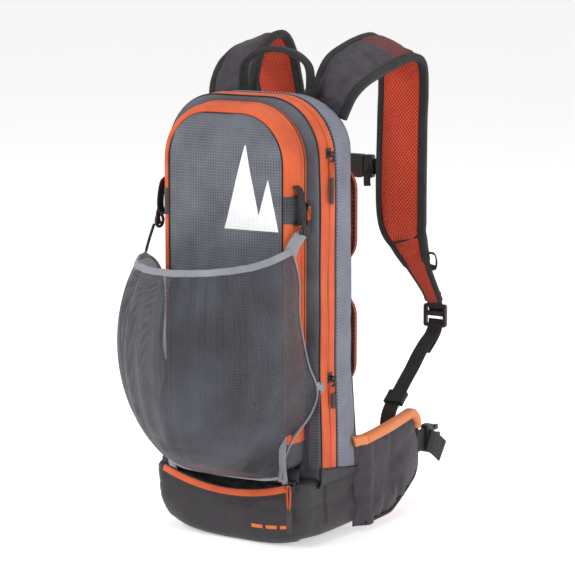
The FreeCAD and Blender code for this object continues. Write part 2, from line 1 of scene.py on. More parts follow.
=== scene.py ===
"""The ski backpack's visible pieces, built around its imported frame.

Lengths are millimetres in the part's own frame until surface() turns them into a mesh. -Y is the
pack's outer front, +Y the wearer's side and +Z is up.
"""

import json
import math

import bmesh
import bpy
import numpy as np
from mathutils import Vector, noise
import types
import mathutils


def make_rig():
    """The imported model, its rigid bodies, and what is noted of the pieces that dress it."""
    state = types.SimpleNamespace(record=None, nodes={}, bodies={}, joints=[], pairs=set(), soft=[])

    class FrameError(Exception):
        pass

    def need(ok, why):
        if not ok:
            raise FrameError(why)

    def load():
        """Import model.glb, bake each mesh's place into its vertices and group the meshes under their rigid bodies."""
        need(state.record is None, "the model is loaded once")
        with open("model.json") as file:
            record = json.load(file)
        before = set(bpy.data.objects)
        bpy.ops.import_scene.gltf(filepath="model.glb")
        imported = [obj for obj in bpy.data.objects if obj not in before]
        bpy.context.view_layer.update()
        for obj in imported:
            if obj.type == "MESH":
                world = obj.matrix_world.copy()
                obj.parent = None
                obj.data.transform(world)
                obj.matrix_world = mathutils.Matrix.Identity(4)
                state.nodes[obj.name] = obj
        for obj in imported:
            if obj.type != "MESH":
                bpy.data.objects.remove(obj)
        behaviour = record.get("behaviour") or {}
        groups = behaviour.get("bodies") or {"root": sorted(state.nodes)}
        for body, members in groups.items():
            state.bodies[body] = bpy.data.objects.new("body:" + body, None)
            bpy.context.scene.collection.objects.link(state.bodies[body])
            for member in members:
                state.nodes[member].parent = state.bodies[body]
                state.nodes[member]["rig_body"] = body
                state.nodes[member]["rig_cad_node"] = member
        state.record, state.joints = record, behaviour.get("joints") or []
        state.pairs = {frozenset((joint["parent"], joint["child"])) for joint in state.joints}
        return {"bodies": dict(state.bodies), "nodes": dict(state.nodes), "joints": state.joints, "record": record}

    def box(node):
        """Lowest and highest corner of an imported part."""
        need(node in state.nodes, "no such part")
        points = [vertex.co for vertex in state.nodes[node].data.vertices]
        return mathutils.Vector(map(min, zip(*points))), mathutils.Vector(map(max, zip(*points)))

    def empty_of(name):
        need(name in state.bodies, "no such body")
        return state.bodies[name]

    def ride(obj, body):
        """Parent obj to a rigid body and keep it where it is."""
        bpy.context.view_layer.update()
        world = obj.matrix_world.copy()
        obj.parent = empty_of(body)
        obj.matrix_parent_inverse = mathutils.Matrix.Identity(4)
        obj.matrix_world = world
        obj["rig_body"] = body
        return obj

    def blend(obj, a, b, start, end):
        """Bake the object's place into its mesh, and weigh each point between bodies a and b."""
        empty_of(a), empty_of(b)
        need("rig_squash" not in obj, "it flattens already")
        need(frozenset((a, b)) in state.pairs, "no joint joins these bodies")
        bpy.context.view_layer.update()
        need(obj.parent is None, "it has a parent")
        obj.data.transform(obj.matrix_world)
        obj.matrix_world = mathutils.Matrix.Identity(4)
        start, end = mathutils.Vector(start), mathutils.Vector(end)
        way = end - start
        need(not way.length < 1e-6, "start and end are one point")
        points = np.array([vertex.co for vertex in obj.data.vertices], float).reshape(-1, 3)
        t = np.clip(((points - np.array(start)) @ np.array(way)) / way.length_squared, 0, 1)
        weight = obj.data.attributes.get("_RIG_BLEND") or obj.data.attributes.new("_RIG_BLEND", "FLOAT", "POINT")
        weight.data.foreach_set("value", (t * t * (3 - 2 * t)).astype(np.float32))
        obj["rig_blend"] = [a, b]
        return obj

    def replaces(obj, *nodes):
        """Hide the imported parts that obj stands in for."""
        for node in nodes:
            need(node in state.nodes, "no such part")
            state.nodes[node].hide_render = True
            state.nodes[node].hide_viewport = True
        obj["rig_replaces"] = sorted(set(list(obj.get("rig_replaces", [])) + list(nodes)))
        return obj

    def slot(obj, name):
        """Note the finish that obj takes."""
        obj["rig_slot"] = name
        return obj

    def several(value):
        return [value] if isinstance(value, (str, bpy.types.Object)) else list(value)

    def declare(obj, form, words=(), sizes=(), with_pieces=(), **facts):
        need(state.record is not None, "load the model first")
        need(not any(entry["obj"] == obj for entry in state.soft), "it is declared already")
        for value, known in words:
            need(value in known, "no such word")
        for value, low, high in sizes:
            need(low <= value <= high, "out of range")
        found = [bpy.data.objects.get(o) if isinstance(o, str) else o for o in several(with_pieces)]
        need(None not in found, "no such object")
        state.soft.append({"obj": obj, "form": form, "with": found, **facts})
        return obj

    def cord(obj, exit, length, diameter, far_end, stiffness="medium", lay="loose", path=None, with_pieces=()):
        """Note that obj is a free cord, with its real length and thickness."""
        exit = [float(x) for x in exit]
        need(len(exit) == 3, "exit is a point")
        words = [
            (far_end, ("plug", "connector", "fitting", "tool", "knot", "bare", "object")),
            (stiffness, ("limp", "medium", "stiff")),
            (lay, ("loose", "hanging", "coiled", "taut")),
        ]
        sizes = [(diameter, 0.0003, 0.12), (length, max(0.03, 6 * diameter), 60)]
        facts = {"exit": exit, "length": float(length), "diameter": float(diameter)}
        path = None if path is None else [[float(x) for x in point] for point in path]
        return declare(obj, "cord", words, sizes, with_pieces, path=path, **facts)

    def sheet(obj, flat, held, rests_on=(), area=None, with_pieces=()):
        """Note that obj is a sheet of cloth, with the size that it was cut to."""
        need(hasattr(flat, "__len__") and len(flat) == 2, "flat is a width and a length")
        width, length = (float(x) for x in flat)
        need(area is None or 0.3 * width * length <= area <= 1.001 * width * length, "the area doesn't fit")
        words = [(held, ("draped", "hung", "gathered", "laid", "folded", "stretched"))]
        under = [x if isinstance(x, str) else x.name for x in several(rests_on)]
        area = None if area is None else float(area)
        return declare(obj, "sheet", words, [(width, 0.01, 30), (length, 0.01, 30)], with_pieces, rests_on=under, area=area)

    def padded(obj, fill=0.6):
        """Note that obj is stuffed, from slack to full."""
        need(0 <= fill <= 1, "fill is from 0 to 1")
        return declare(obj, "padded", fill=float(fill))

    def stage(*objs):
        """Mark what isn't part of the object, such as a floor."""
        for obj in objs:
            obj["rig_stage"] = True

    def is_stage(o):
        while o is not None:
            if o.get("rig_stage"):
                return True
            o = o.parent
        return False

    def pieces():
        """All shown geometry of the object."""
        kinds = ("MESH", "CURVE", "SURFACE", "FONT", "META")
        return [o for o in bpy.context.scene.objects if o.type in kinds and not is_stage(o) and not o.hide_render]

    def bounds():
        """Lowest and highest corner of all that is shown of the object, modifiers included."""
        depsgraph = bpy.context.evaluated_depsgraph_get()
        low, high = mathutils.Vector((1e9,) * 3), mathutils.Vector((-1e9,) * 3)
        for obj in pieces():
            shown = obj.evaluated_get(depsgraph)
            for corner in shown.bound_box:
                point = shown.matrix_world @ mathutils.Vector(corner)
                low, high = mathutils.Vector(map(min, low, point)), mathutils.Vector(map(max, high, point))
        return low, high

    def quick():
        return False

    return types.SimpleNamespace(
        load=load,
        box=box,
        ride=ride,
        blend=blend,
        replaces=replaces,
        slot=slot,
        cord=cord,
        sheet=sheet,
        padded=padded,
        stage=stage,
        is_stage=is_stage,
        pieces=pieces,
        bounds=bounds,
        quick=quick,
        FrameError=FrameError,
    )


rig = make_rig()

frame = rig.load()
cad_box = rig.bounds()
MM = 0.001
ACROSS, DEEP, UP = Vector((1, 0, 0)), Vector((0, 1, 0)), Vector((0, 0, 1))


def span(node):
    """A CAD node's lowest and highest corners, in millimetres."""
    low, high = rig.box(node)
    return low / MM, high / MM


# Driving dimensions ---------------------------------------------------------------------------

TAPE_PROUD = 0.8
CROWN = 48
SACK_HALF = span("main_zip_tape_rear")[1].x - TAPE_PROUD
SACK_TOP = span("main_zip_tape_rear")[1].z - TAPE_PROUD
TOP_HALF = span("top_panel")[1].x + CROWN
SEAM_Z = span("base_shell")[1].z
BACK_Y = span("back_panel")[1].y
FRONT_Y = span("front_panel")[0].y
FLAP_Z = span("front_panel")[0].z
ZIP_Y = (span("main_zip_tape_rear")[0].y + span("main_zip_tape_front")[1].y) / 2
TAPE_WIDTH = 13
ARCH_TOP = SACK_TOP - 2.5
REAR_TAPER = 9.5
SACK_CROWN = 60

POCKET_LOW, POCKET_HIGH = span("pocket_gusset")
POCKET_CROWN, POCKET_FOOT = 58, 14
POCKET_SEAM = 7.5
GUSSET_FOOT = 112
POCKET_TOP = POCKET_HIGH.z - 4

NET_CENTRE = Vector((0, -79, 218))
NET_RADII = Vector((103, 112, 145))

BASE_LOW, BASE_HIGH = span("base_shell")
BASE_CORNER, BASE_ROUND = 12, 11.5
SMILE_RADIUS, SMILE_LOW = 220, 56
BASE_TAPE = 6

STRAP_CENTRE, STRAP_DEPTH, STRAP_RUN = 67, 11, 185
NECK_X = 92


# Scene: camera, light and floor ---------------------------------------------------------------

CAMERA_AZIMUTH, CAMERA_ELEVATION = math.radians(33), math.radians(10)
CAMERA_DISTANCE = 2.5
CAMERA_TARGET = Vector((0, 0, 0.235))
CAMERA_AIM_OFFSET = (0.0293, 0.0266)
CAMERA_LENS = 147.1


def camera_axes():
    """Unit vectors from the target towards the camera, to the picture's right, and up."""
    sin_a, cos_a = math.sin(CAMERA_AZIMUTH), math.cos(CAMERA_AZIMUTH)
    sin_e, cos_e = math.sin(CAMERA_ELEVATION), math.cos(CAMERA_ELEVATION)
    back = Vector((sin_a * cos_e, -cos_a * cos_e, sin_e))
    right = Vector((cos_a, sin_a, 0))
    up = Vector((-sin_a * sin_e, cos_a * sin_e, cos_e))
    return back, right, up


def add_camera():
    back, right, up = camera_axes()
    camera = bpy.data.objects.new("Camera", bpy.data.cameras.new("Camera"))
    camera.data.lens = CAMERA_LENS
    camera.data.sensor_width = 36
    camera.location = CAMERA_TARGET + back * CAMERA_DISTANCE
    aim = CAMERA_TARGET + right * CAMERA_AIM_OFFSET[0] + up * CAMERA_AIM_OFFSET[1]
    camera.rotation_euler = (aim - camera.location).to_track_quat("-Z", "Y").to_euler()
    bpy.context.scene.collection.objects.link(camera)
    bpy.context.scene.camera = camera


def add_light(name, place, size, energy):
    """A square softbox aimed at the pack."""
    lamp = bpy.data.lights.new(name, "AREA")
    lamp.size = size
    lamp.energy = energy
    light = bpy.data.objects.new(name, lamp)
    light.location = place
    light.rotation_euler = (CAMERA_TARGET - Vector(place)).to_track_quat("-Z", "Y").to_euler()
    bpy.context.scene.collection.objects.link(light)


def add_studio():
    scene = bpy.context.scene
    scene.view_settings.view_transform = "Standard"
    world = bpy.data.worlds.new("Studio")
    world.use_nodes = True
    nodes, links = world.node_tree.nodes, world.node_tree.links
    background = nodes["Background"]
    background.inputs["Color"].default_value = (1, 1, 1, 1)
    height = nodes.new("ShaderNodeSeparateXYZ")
    fade = nodes.new("ShaderNodeMapRange")
    for number, value in enumerate((0.15, 0.5, 0.97, 0.42), start=1):
        fade.inputs[number].default_value = value
    links.new(nodes.new("ShaderNodeTexCoord").outputs["Generated"], height.inputs[0])
    links.new(height.outputs[2], fade.inputs[0])
    links.new(fade.outputs[0], background.inputs["Strength"])
    scene.world = world
    add_light("KeyLight", (-1.4, -2.2, 2.2), 1.1, 44)
    add_light("SideLight", (2.6, -0.9, 1.3), 1.2, 24)
    add_light("TopLight", (0.2, 0.6, 2.6), 1.2, 16)
    bpy.ops.mesh.primitive_plane_add(size=40, location=(0, 0, 0))
    floor = bpy.context.active_object
    floor.name = "floor"
    shade = Shade("studio_floor")
    mottle = shade.node("TexNoise", shade.objects(), None, 3.0).outputs[0]
    shade.colour(shade.mix(mottle, (0.93, 0.93, 0.93, 1), (0.97, 0.97, 0.97, 1)))
    shade.shader.inputs["Roughness"].default_value = 0.9
    shade.shader.inputs["Emission Color"].default_value = (1, 1, 1, 1)
    shade.shader.inputs["Emission Strength"].default_value = 0.45
    floor.data.materials.append(shade.material)
    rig.stage(floor)


# Materials ------------------------------------------------------------------------------------


class Shade:
    """A node material, built up node by node around one Principled shader."""

    def __init__(self, name):
        self.material = bpy.data.materials.new(name)
        self.material.use_nodes = True
        self.tree = self.material.node_tree
        self.shader = self.tree.nodes["Principled BSDF"]

    def feed(self, socket, value):
        if isinstance(value, bpy.types.NodeSocket):
            self.tree.links.new(value, socket)
        elif value is not None:
            socket.default_value = value

    def node(self, kind, *values, **settings):
        made = self.tree.nodes.new("ShaderNode" + kind)
        for key, value in settings.items():
            setattr(made, key, value)
        for socket, value in zip(made.inputs, values):
            self.feed(socket, value)
        return made

    def math(self, operation, *values):
        return self.node("Math", *values, operation=operation).outputs[0]

    def remap(self, value, low, high, start=0.0, end=1.0):
        return self.node("MapRange", value, low, high, start, end).outputs[0]

    def mix(self, factor, first, second):
        made = self.node("Mix", factor, data_type="RGBA")
        self.feed(made.inputs[6], first)
        self.feed(made.inputs[7], second)
        return made.outputs[2]

    def objects(self):
        return self.node("TexCoord").outputs["Object"]

    def cloth_axes(self):
        """The fabric's own two directions, in millimetres along its surface."""
        parts = self.node("SeparateXYZ", self.node("TexCoord").outputs["UV"]).outputs
        return self.math("MULTIPLY", parts[0], 1 / MM), self.math("MULTIPLY", parts[1], 1 / MM)

    def noise(self, size, detail=2.0, low=0.0, high=1.0):
        """Cloudy variation, its lumps about this many millimetres across."""
        made = self.node("TexNoise", self.objects(), None, 1 / (size * MM), detail)
        return self.remap(made.outputs[0], 0.3, 0.7, low, high)

    def stripes(self, place, period):
        """A wave from 0 to 1 across the fabric."""
        turn = self.math("MULTIPLY", place, 2 * math.pi / period)
        return self.math("MULTIPLY_ADD", self.math("SINE", turn), 0.5, 0.5)

    def lines(self, place, period, width):
        """1 on thin lines that repeat across the fabric, 0 between them."""
        away = self.math("PINGPONG", place, period / 2)
        return self.remap(away, width * 0.35, width * 0.65, 1.0, 0.0)

    def dots(self, across, along, pitch, rise):
        """Distance in millimetres from the nearest of a staggered set of holes."""
        distances = []
        for shift_a, shift_b in ((0, 0), (pitch / 2, rise / 2)):
            a = self.math("PINGPONG", self.math("ADD", across, shift_a), pitch / 2)
            b = self.math("PINGPONG", self.math("ADD", along, shift_b), rise / 2)
            square = self.math("ADD", self.math("MULTIPLY", a, a), self.math("MULTIPLY", b, b))
            distances.append(self.math("SQRT", square))
        return self.math("MINIMUM", *distances)

    def colour(self, value):
        self.feed(self.shader.inputs["Base Color"], value)

    def rough(self, value):
        self.feed(self.shader.inputs["Roughness"], value)

    def bump(self, height, depth, strength=1.0):
        """Raise the surface by a height from 0 to 1, this many millimetres deep."""
        made = self.node("Bump")
        made.inputs["Strength"].default_value = strength
        made.inputs["Distance"].default_value = depth * MM
        self.feed(made.inputs["Height"], height)
        self.feed(self.shader.inputs["Normal"], made.outputs[0])

    def sheen(self, amount, tint=(1, 1, 1, 1)):
        self.shader.inputs["Sheen Weight"].default_value = amount
        self.shader.inputs["Sheen Roughness"].default_value = 0.5
        self.shader.inputs["Sheen Tint"].default_value = tint


def tone(red, green, blue):
    """A shader colour from 8-bit display values."""
    return tuple(((c / 255 + 0.055) / 1.055) ** 2.4 for c in (red, green, blue)) + (1,)


def checked_ripstop(name, light, dark, pitch=3.0):
    """Plain weave with a raised check of thicker threads."""
    shade = Shade(name)
    across, along = shade.cloth_axes()
    check = shade.math("MAXIMUM", shade.lines(across, pitch, 1.0), shade.lines(along, pitch, 1.0))
    weave = shade.math("MULTIPLY", shade.stripes(across, 0.8), shade.stripes(along, 0.8))
    worn = shade.noise(34, 3.0, 0.0, 0.45)
    pattern = shade.math("MULTIPLY_ADD", weave, 0.25, shade.math("MULTIPLY_ADD", check, 0.55, worn))
    shade.colour(shade.mix(pattern, dark, light))
    shade.rough(shade.noise(12, 2.0, 0.62, 0.82))
    shade.bump(shade.math("MULTIPLY_ADD", check, 0.6, weave), 0.25)
    shade.sheen(0.05)
    return shade.material


def ribbed_fabric(name, light, dark, pitch=2.6, roughness=0.75, sheen=0.06):
    """Cloth with a fine rib across it, its colour clouded a little."""
    shade = Shade(name)
    across, along = shade.cloth_axes()
    rib = shade.stripes(along, pitch)
    thread = shade.stripes(across, 0.9)
    cloud = shade.noise(40, 3.0, 0.0, 0.5)
    pattern = shade.math("MULTIPLY_ADD", thread, 0.12, shade.math("MULTIPLY_ADD", rib, 0.45, cloud))
    shade.colour(shade.mix(pattern, dark, light))
    shade.rough(shade.noise(15, 2.0, roughness - 0.1, roughness + 0.08))
    shade.bump(shade.math("MULTIPLY_ADD", rib, 0.8, thread), 0.22)
    shade.sheen(sheen)
    return shade.material


def coated_fabric(name, light, dark, roughness=0.5, crease=22):
    """Smooth coated cloth that shows soft creases, with painted shade in their hollows, and a dull shine."""
    shade = Shade(name)
    across, along = shade.cloth_axes()
    weave = shade.math("MULTIPLY", shade.stripes(across, 0.7), shade.stripes(along, 0.7))
    folds = shade.noise(crease, 4.0)
    # Painted shade: the colour darkens towards the dark tone where the crease noise sinks, the same noise that shapes
    # the bump.
    shade.colour(shade.mix(shade.math("MULTIPLY_ADD", weave, 0.15, folds), dark, light))
    shade.rough(shade.math("MULTIPLY_ADD", folds, 0.18, roughness - 0.08))
    shade.bump(shade.math("MULTIPLY_ADD", folds, 3.0, shade.math("MULTIPLY", weave, 0.25)), 0.6)
    shade.sheen(0.03)
    return shade.material


def webbing_fabric(name, light, dark, pitch=1.7):
    """Thick webbing: cross ribs with a herringbone of warp threads."""
    shade = Shade(name)
    across, along = shade.cloth_axes()
    rib = shade.stripes(along, pitch)
    warp = shade.stripes(shade.math("MULTIPLY_ADD", along, 0.5, across), 1.5)
    cloud = shade.noise(25, 2.0, 0.0, 0.3)
    pattern = shade.math("MULTIPLY_ADD", warp, 0.3, shade.math("MULTIPLY_ADD", rib, 0.4, cloud))
    shade.colour(shade.mix(pattern, dark, light))
    shade.rough(shade.noise(9, 2.0, 0.6, 0.78))
    shade.bump(shade.math("MULTIPLY_ADD", rib, 0.7, warp), 0.35)
    shade.sheen(0.03)
    return shade.material


def air_mesh(name, thread, hole, pitch=3.4, rise=4.6, opening=1.15):
    """Spacer mesh: a staggered net of oval holes over a darker ground."""
    shade = Shade(name)
    across, along = shade.cloth_axes()
    away = shade.dots(across, along, pitch, rise)
    solid = shade.remap(away, opening * 0.75, opening * 1.25)
    tint = shade.noise(30, 3.0, 0.0, 1.0)
    lit = shade.mix(tint, tuple(0.82 * c for c in thread[:3]) + (1,), thread)
    shade.colour(shade.mix(solid, hole, lit))
    shade.rough(shade.remap(solid, 0.0, 1.0, 0.95, 0.68))
    shade.bump(shade.math("MULTIPLY_ADD", solid, 1.0, shade.stripes(across, 0.85)), 0.55)
    shade.sheen(0.12, thread)
    return shade.material


def stretch_net(name, thread, glint):
    """See-through stretch net: ribs of thread with small openings between them, under a painted glint along the ribs
    and in soft patches.
    """
    shade = Shade(name)
    across, along = shade.cloth_axes()
    away = shade.dots(across, along, 2.3, 3.0)
    rib = shade.stripes(across, 4.6)
    pulled = shade.noise(55, 4.0, 0.0, 0.7)
    # Painted highlight: the thread colour is lifted towards the glint colour along the ribs and in soft cloudy patches.
    shade.colour(shade.mix(shade.math("MULTIPLY_ADD", rib, 0.14, pulled), thread, glint))
    shade.rough(shade.noise(20, 2.0, 0.45, 0.65))
    closed = shade.remap(away, 0.3, 0.6, 0.25, 1.0)
    shade.feed(shade.shader.inputs["Alpha"], closed)
    shade.bump(shade.math("MULTIPLY_ADD", rib, 0.25, closed), 0.4)
    shade.sheen(0.05)
    return shade.material


def moulded(name, colour, roughness=0.42, grain=0.8):
    """Moulded plastic or lacquered metal with a fine grain and a few scuffs."""
    shade = Shade(name)
    fine = shade.noise(grain, 3.0)
    scuff = shade.noise(9, 5.0, -0.6, 1.0)
    worn = tuple(min(1.0, c * 2.2 + 0.01) for c in colour[:3]) + (1,)
    shade.colour(shade.mix(shade.math("MULTIPLY", scuff, 0.45), colour, worn))
    shade.rough(shade.math("MULTIPLY_ADD", fine, 0.16, roughness - 0.06))
    shade.bump(fine, 0.05)
    return shade.material


def braided(name, light, dark):
    """Round braided cord: two sets of strands crossing."""
    shade = Shade(name)
    across, along = shade.cloth_axes()
    first = shade.stripes(shade.math("ADD", across, along), 1.5)
    second = shade.stripes(shade.math("SUBTRACT", across, along), 1.5)
    strands = shade.math("MULTIPLY", first, second)
    shade.colour(shade.mix(strands, dark, light))
    shade.rough(shade.remap(strands, 0.0, 1.0, 0.8, 0.6))
    shade.bump(strands, 0.3)
    shade.sheen(0.06)
    return shade.material


def printed_ink(name, colour, faded):
    """Screen-printed ink that lets the weave under it show."""
    shade = Shade(name)
    across, along = shade.cloth_axes()
    weave = shade.math("MAXIMUM", shade.lines(across, 3.0, 0.9), shade.lines(along, 3.0, 0.9))
    shade.colour(shade.mix(shade.math("MULTIPLY_ADD", weave, 0.3, shade.noise(8, 4.0, 0.0, 0.3)), colour, faded))
    shade.rough(shade.noise(6, 2.0, 0.5, 0.7))
    shade.bump(weave, 0.15)
    return shade.material


def make_materials():
    return {
        "ripstop": checked_ripstop("pocket_ripstop", tone(120, 123, 132), tone(62, 65, 73)),
        "ripstop_dark": checked_ripstop("dark_ripstop", tone(84, 85, 92), tone(34, 35, 40)),
        "side": ribbed_fabric("side_fabric", tone(134, 137, 152), tone(98, 101, 115)),
        "panel": ribbed_fabric("panel_fabric", tone(104, 108, 119), tone(54, 58, 66), 2.0),
        "orange": ribbed_fabric("orange_fabric", tone(236, 108, 54), tone(190, 70, 30), 1.6),
        "trim": ribbed_fabric("trim_fabric", tone(244, 154, 96), tone(222, 122, 68), 1.4),
        "coated": coated_fabric("coated_fabric", tone(47, 42, 48), tone(27, 24, 28)),
        "strap_face": coated_fabric("strap_face", tone(62, 55, 65), tone(34, 30, 36), 0.55, 14),
        "lining": coated_fabric("lining_fabric", tone(36, 34, 38), tone(16, 15, 18), 0.45, 10),
        "webbing": webbing_fabric("black_webbing", tone(39, 36, 39), tone(18, 17, 19)),
        "binding": webbing_fabric("edge_binding", tone(35, 33, 36), tone(17, 16, 18), 1.2),
        "grosgrain": webbing_fabric("grey_grosgrain", tone(92, 95, 101), tone(36, 38, 43), 3.2),
        "grey_elastic": webbing_fabric("grey_elastic", tone(166, 168, 174), tone(118, 120, 127), 2.2),
        "mesh": air_mesh("orange_air_mesh", tone(255, 100, 58), tone(176, 42, 22)),
        "mesh_pad": air_mesh("pad_air_mesh", tone(246, 100, 52), tone(168, 50, 24)),
        "mesh_dark": air_mesh("dark_air_mesh", tone(58, 49, 55), tone(196, 88, 76), 3.1, 4.0, 0.75),
        "net": stretch_net("stretch_net", tone(31, 32, 38), tone(76, 77, 88)),
        "plastic": moulded("black_plastic", tone(32, 31, 33)),
        "metal": moulded("black_lacquer", tone(26, 25, 27), 0.3, 0.5),
        "grip": moulded("pull_grip", tone(58, 46, 46), 0.6, 0.6),
        "stiffener": moulded("stiffener_sheet", tone(82, 82, 84), 0.5, 1.6),
        "pull_cord": braided("pull_cord", tone(244, 120, 60), tone(186, 70, 30)),
        "black_cord": braided("black_cord", tone(46, 44, 48), tone(18, 17, 20)),
        "thread": braided("dark_thread", tone(38, 36, 41), tone(20, 19, 22)),
        "ink": printed_ink("white_ink", tone(250, 250, 250), tone(226, 227, 232)),
        "ink_orange": printed_ink("orange_ink", tone(236, 118, 66), tone(190, 84, 44)),
    }


# Mesh helpers ---------------------------------------------------------------------------------


def surface(name, rows, wrap=False, loop=False, inside=None):
    """A mesh through rows of points, its UV in metres of cloth.

    wrap joins each row's ends and loop joins the last row to the first. inside is a point behind
    an open sheet, so that its normals face away from it.
    """
    points = np.array([[tuple(point) for point in row] for row in rows]) * MM
    count, width = points.shape[:2]
    along = np.append(points, points[:1], axis=0) if loop else points
    across = np.append(points, points[:, :1], axis=1) if wrap else points
    v = np.append(0, np.cumsum(np.linalg.norm(np.diff(along, axis=0), axis=2).mean(axis=1)))
    u = np.append(0, np.cumsum(np.linalg.norm(np.diff(across, axis=1), axis=2).mean(axis=0)))
    faces, uvs = [], []
    for j in range(count if loop else count - 1):
        for i in range(width if wrap else width - 1):
            k, m = (i + 1) % width, (j + 1) % count
            faces.append((j * width + i, j * width + k, m * width + k, m * width + i))
            uvs += [u[i], v[j], u[i + 1], v[j], u[i + 1], v[j + 1], u[i], v[j + 1]]
    mesh = bpy.data.meshes.new(name)
    mesh.from_pydata(points.reshape(-1, 3).tolist(), [], faces)
    mesh.uv_layers.new(name="UVMap").data.foreach_set("uv", uvs)
    obj = bpy.data.objects.new(name, mesh)
    bpy.context.scene.collection.objects.link(obj)
    face_outwards(obj, inside)
    return obj


def face_outwards(obj, inside=None):
    """Close open ends of a solid form and turn its faces outwards; a sheet faces away from inside."""
    form = bmesh.new()
    form.from_mesh(obj.data)
    if inside is None:
        rim = [edge for edge in form.edges if edge.is_boundary]
        bmesh.ops.holes_fill(form, edges=rim, sides=0)
    bmesh.ops.recalc_face_normals(form, faces=form.faces)
    if inside is not None:
        origin = Vector(inside) * MM
        turn = sum((face.calc_center_median() - origin).dot(face.normal) * face.calc_area() for face in form.faces)
        if turn < 0:
            bmesh.ops.reverse_faces(form, faces=form.faces)
    for face in form.faces:
        face.smooth = len(face.verts) == 4
    form.to_mesh(obj.data)
    form.free()


def settle(obj):
    """Turn the piece's modifiers into its mesh."""
    depsgraph = bpy.context.evaluated_depsgraph_get()
    mesh = bpy.data.meshes.new_from_object(obj.evaluated_get(depsgraph))
    obj.modifiers.clear()
    obj.data = mesh
    return obj


def lay_flat(obj, first, second, third):
    """Lay the cloth's UV across two of the part's axes and down its edges along the third."""
    points = obj.data.vertices
    layer = obj.data.uv_layers[0].data
    for loop in obj.data.loops:
        point = points[loop.vertex_index].co
        layer[loop.index].uv = (point[first] - math.copysign(abs(point[third]), point[first]), point[second])


def thicken(obj, depth, offset=-1.0):
    solid = obj.modifiers.new("Thickness", "SOLIDIFY")
    solid.thickness = depth * MM
    solid.offset = offset
    return settle(obj)


def place(obj, body, slot, *materials, replaces=()):
    """Give a finished piece its materials, its body and the CAD nodes that it stands for."""
    for material in materials:
        obj.data.materials.append(MATERIALS[material])
    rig.ride(obj, body)
    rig.slot(obj, slot)
    if replaces:
        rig.replaces(obj, *replaces)
    return obj


def bridge(obj, slot, material, joined, start, end, replaces=()):
    """The same for a piece that bends between two bodies from start to end."""
    obj.data.materials.append(MATERIALS[material])
    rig.blend(obj, *joined, start=Vector(start) * MM, end=Vector(end) * MM)
    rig.slot(obj, slot)
    if replaces:
        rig.replaces(obj, *replaces)
    return obj


def even(path, step, closed=False):
    """The same line as points an equal distance apart."""
    points = np.array([tuple(point) for point in path])
    if closed:
        points = np.vstack([points, points[:1]])
    distance = np.append(0, np.cumsum(np.linalg.norm(np.diff(points, axis=0), axis=1)))
    places = np.linspace(0, distance[-1], max(2, round(distance[-1] / step)) + 1)
    if closed:
        places = places[:-1]
    columns = [np.interp(places, distance, points[:, k]) for k in range(points.shape[1])]
    return [Vector(point) for point in np.column_stack(columns).tolist()]


def smooth(points, step=3.0):
    """A smooth line through listed points."""
    points = [Vector(point) for point in points]
    line = []
    for i in range(len(points) - 1):
        before = points[max(i - 1, 0)]
        start, end = points[i], points[i + 1]
        after = points[min(i + 2, len(points) - 1)]
        for t in np.linspace(0, 1, 17)[:-1]:
            line.append(0.5 * (2 * start + (end - before) * t + (2 * before - 5 * start + 4 * end - after) * t * t
                               + (3 * start - before - 3 * end + after) * t ** 3))
    return even(line + [points[-1]], step)


def rounded(corners, step=3.0, closed=False):
    """A line through (a, b, radius) corners, each rounded by an arc."""
    path = []
    for i, (a, b, radius) in enumerate(corners):
        corner = Vector((a, b))
        if radius == 0:
            path.append(corner)
            continue
        inward = (Vector(corners[i - 1][:2]) - corner).normalized()
        outward = (Vector(corners[(i + 1) % len(corners)][:2]) - corner).normalized()
        half = inward.angle(outward) / 2
        centre = corner + (inward + outward).normalized() * radius / math.sin(half)
        start = corner + inward * radius / math.tan(half) - centre
        end = corner + outward * radius / math.tan(half) - centre
        angle = math.atan2(start.y, start.x)
        turn = (math.atan2(end.y, end.x) - angle + math.pi) % (2 * math.pi) - math.pi
        for t in np.linspace(0, 1, 13):
            bearing = angle + turn * t
            path.append(centre + Vector((math.cos(bearing), math.sin(bearing))) * radius)
    return even(path, step, closed)


def left_normals(path, closed=False):
    """The flat line's normal on its left at each point."""
    found = []
    for i in range(len(path)):
        before = path[i - 1] if closed or i > 0 else path[i]
        after = path[(i + 1) % len(path)] if closed or i < len(path) - 1 else path[i]
        run = (after - before).normalized()
        found.append(Vector((-run.y, run.x)))
    return found


def oval(width, depth, power=2.0, count=16):
    """A closed section, round at power 2 and squarer as the power rises."""
    section = []
    for k in range(count):
        angle = 2 * math.pi * (k + 0.5) / count
        c, s = math.cos(angle), math.sin(angle)
        section.append((math.copysign(abs(c) ** (2 / power), c) * width / 2,
                        math.copysign(abs(s) ** (2 / power), s) * depth / 2))
    return section


def sweep(name, path, section, across=None, widths=None, depths=None, loop=False):
    """Carry a section along a line; its first coordinate lies along across, its second through it."""
    count = len(path)
    side = across[0] if isinstance(across, list) else across
    rows = []
    for i, centre in enumerate(path):
        before = path[i - 1] if loop or i > 0 else centre
        after = path[(i + 1) % count] if loop or i < count - 1 else centre
        run = (after - before).normalized()
        if isinstance(across, list):
            side = across[i]
        elif side is None:
            side = run.orthogonal()
        side = (side - run * side.dot(run)).normalized()
        through = run.cross(side)
        wide = widths[i] if widths else 1
        deep = depths[i] if depths else 1
        rows.append([centre + side * (a * wide) + through * (b * deep) for a, b in section])
    return surface(name, rows, wrap=True, loop=loop)


def band(name, points, width, depth, across, step=4.0, widths=None):
    """A flat strap or webbing through listed points."""
    path = smooth(points, step)
    return sweep(name, path, oval(width, depth, 5.0, 20), across, widths)


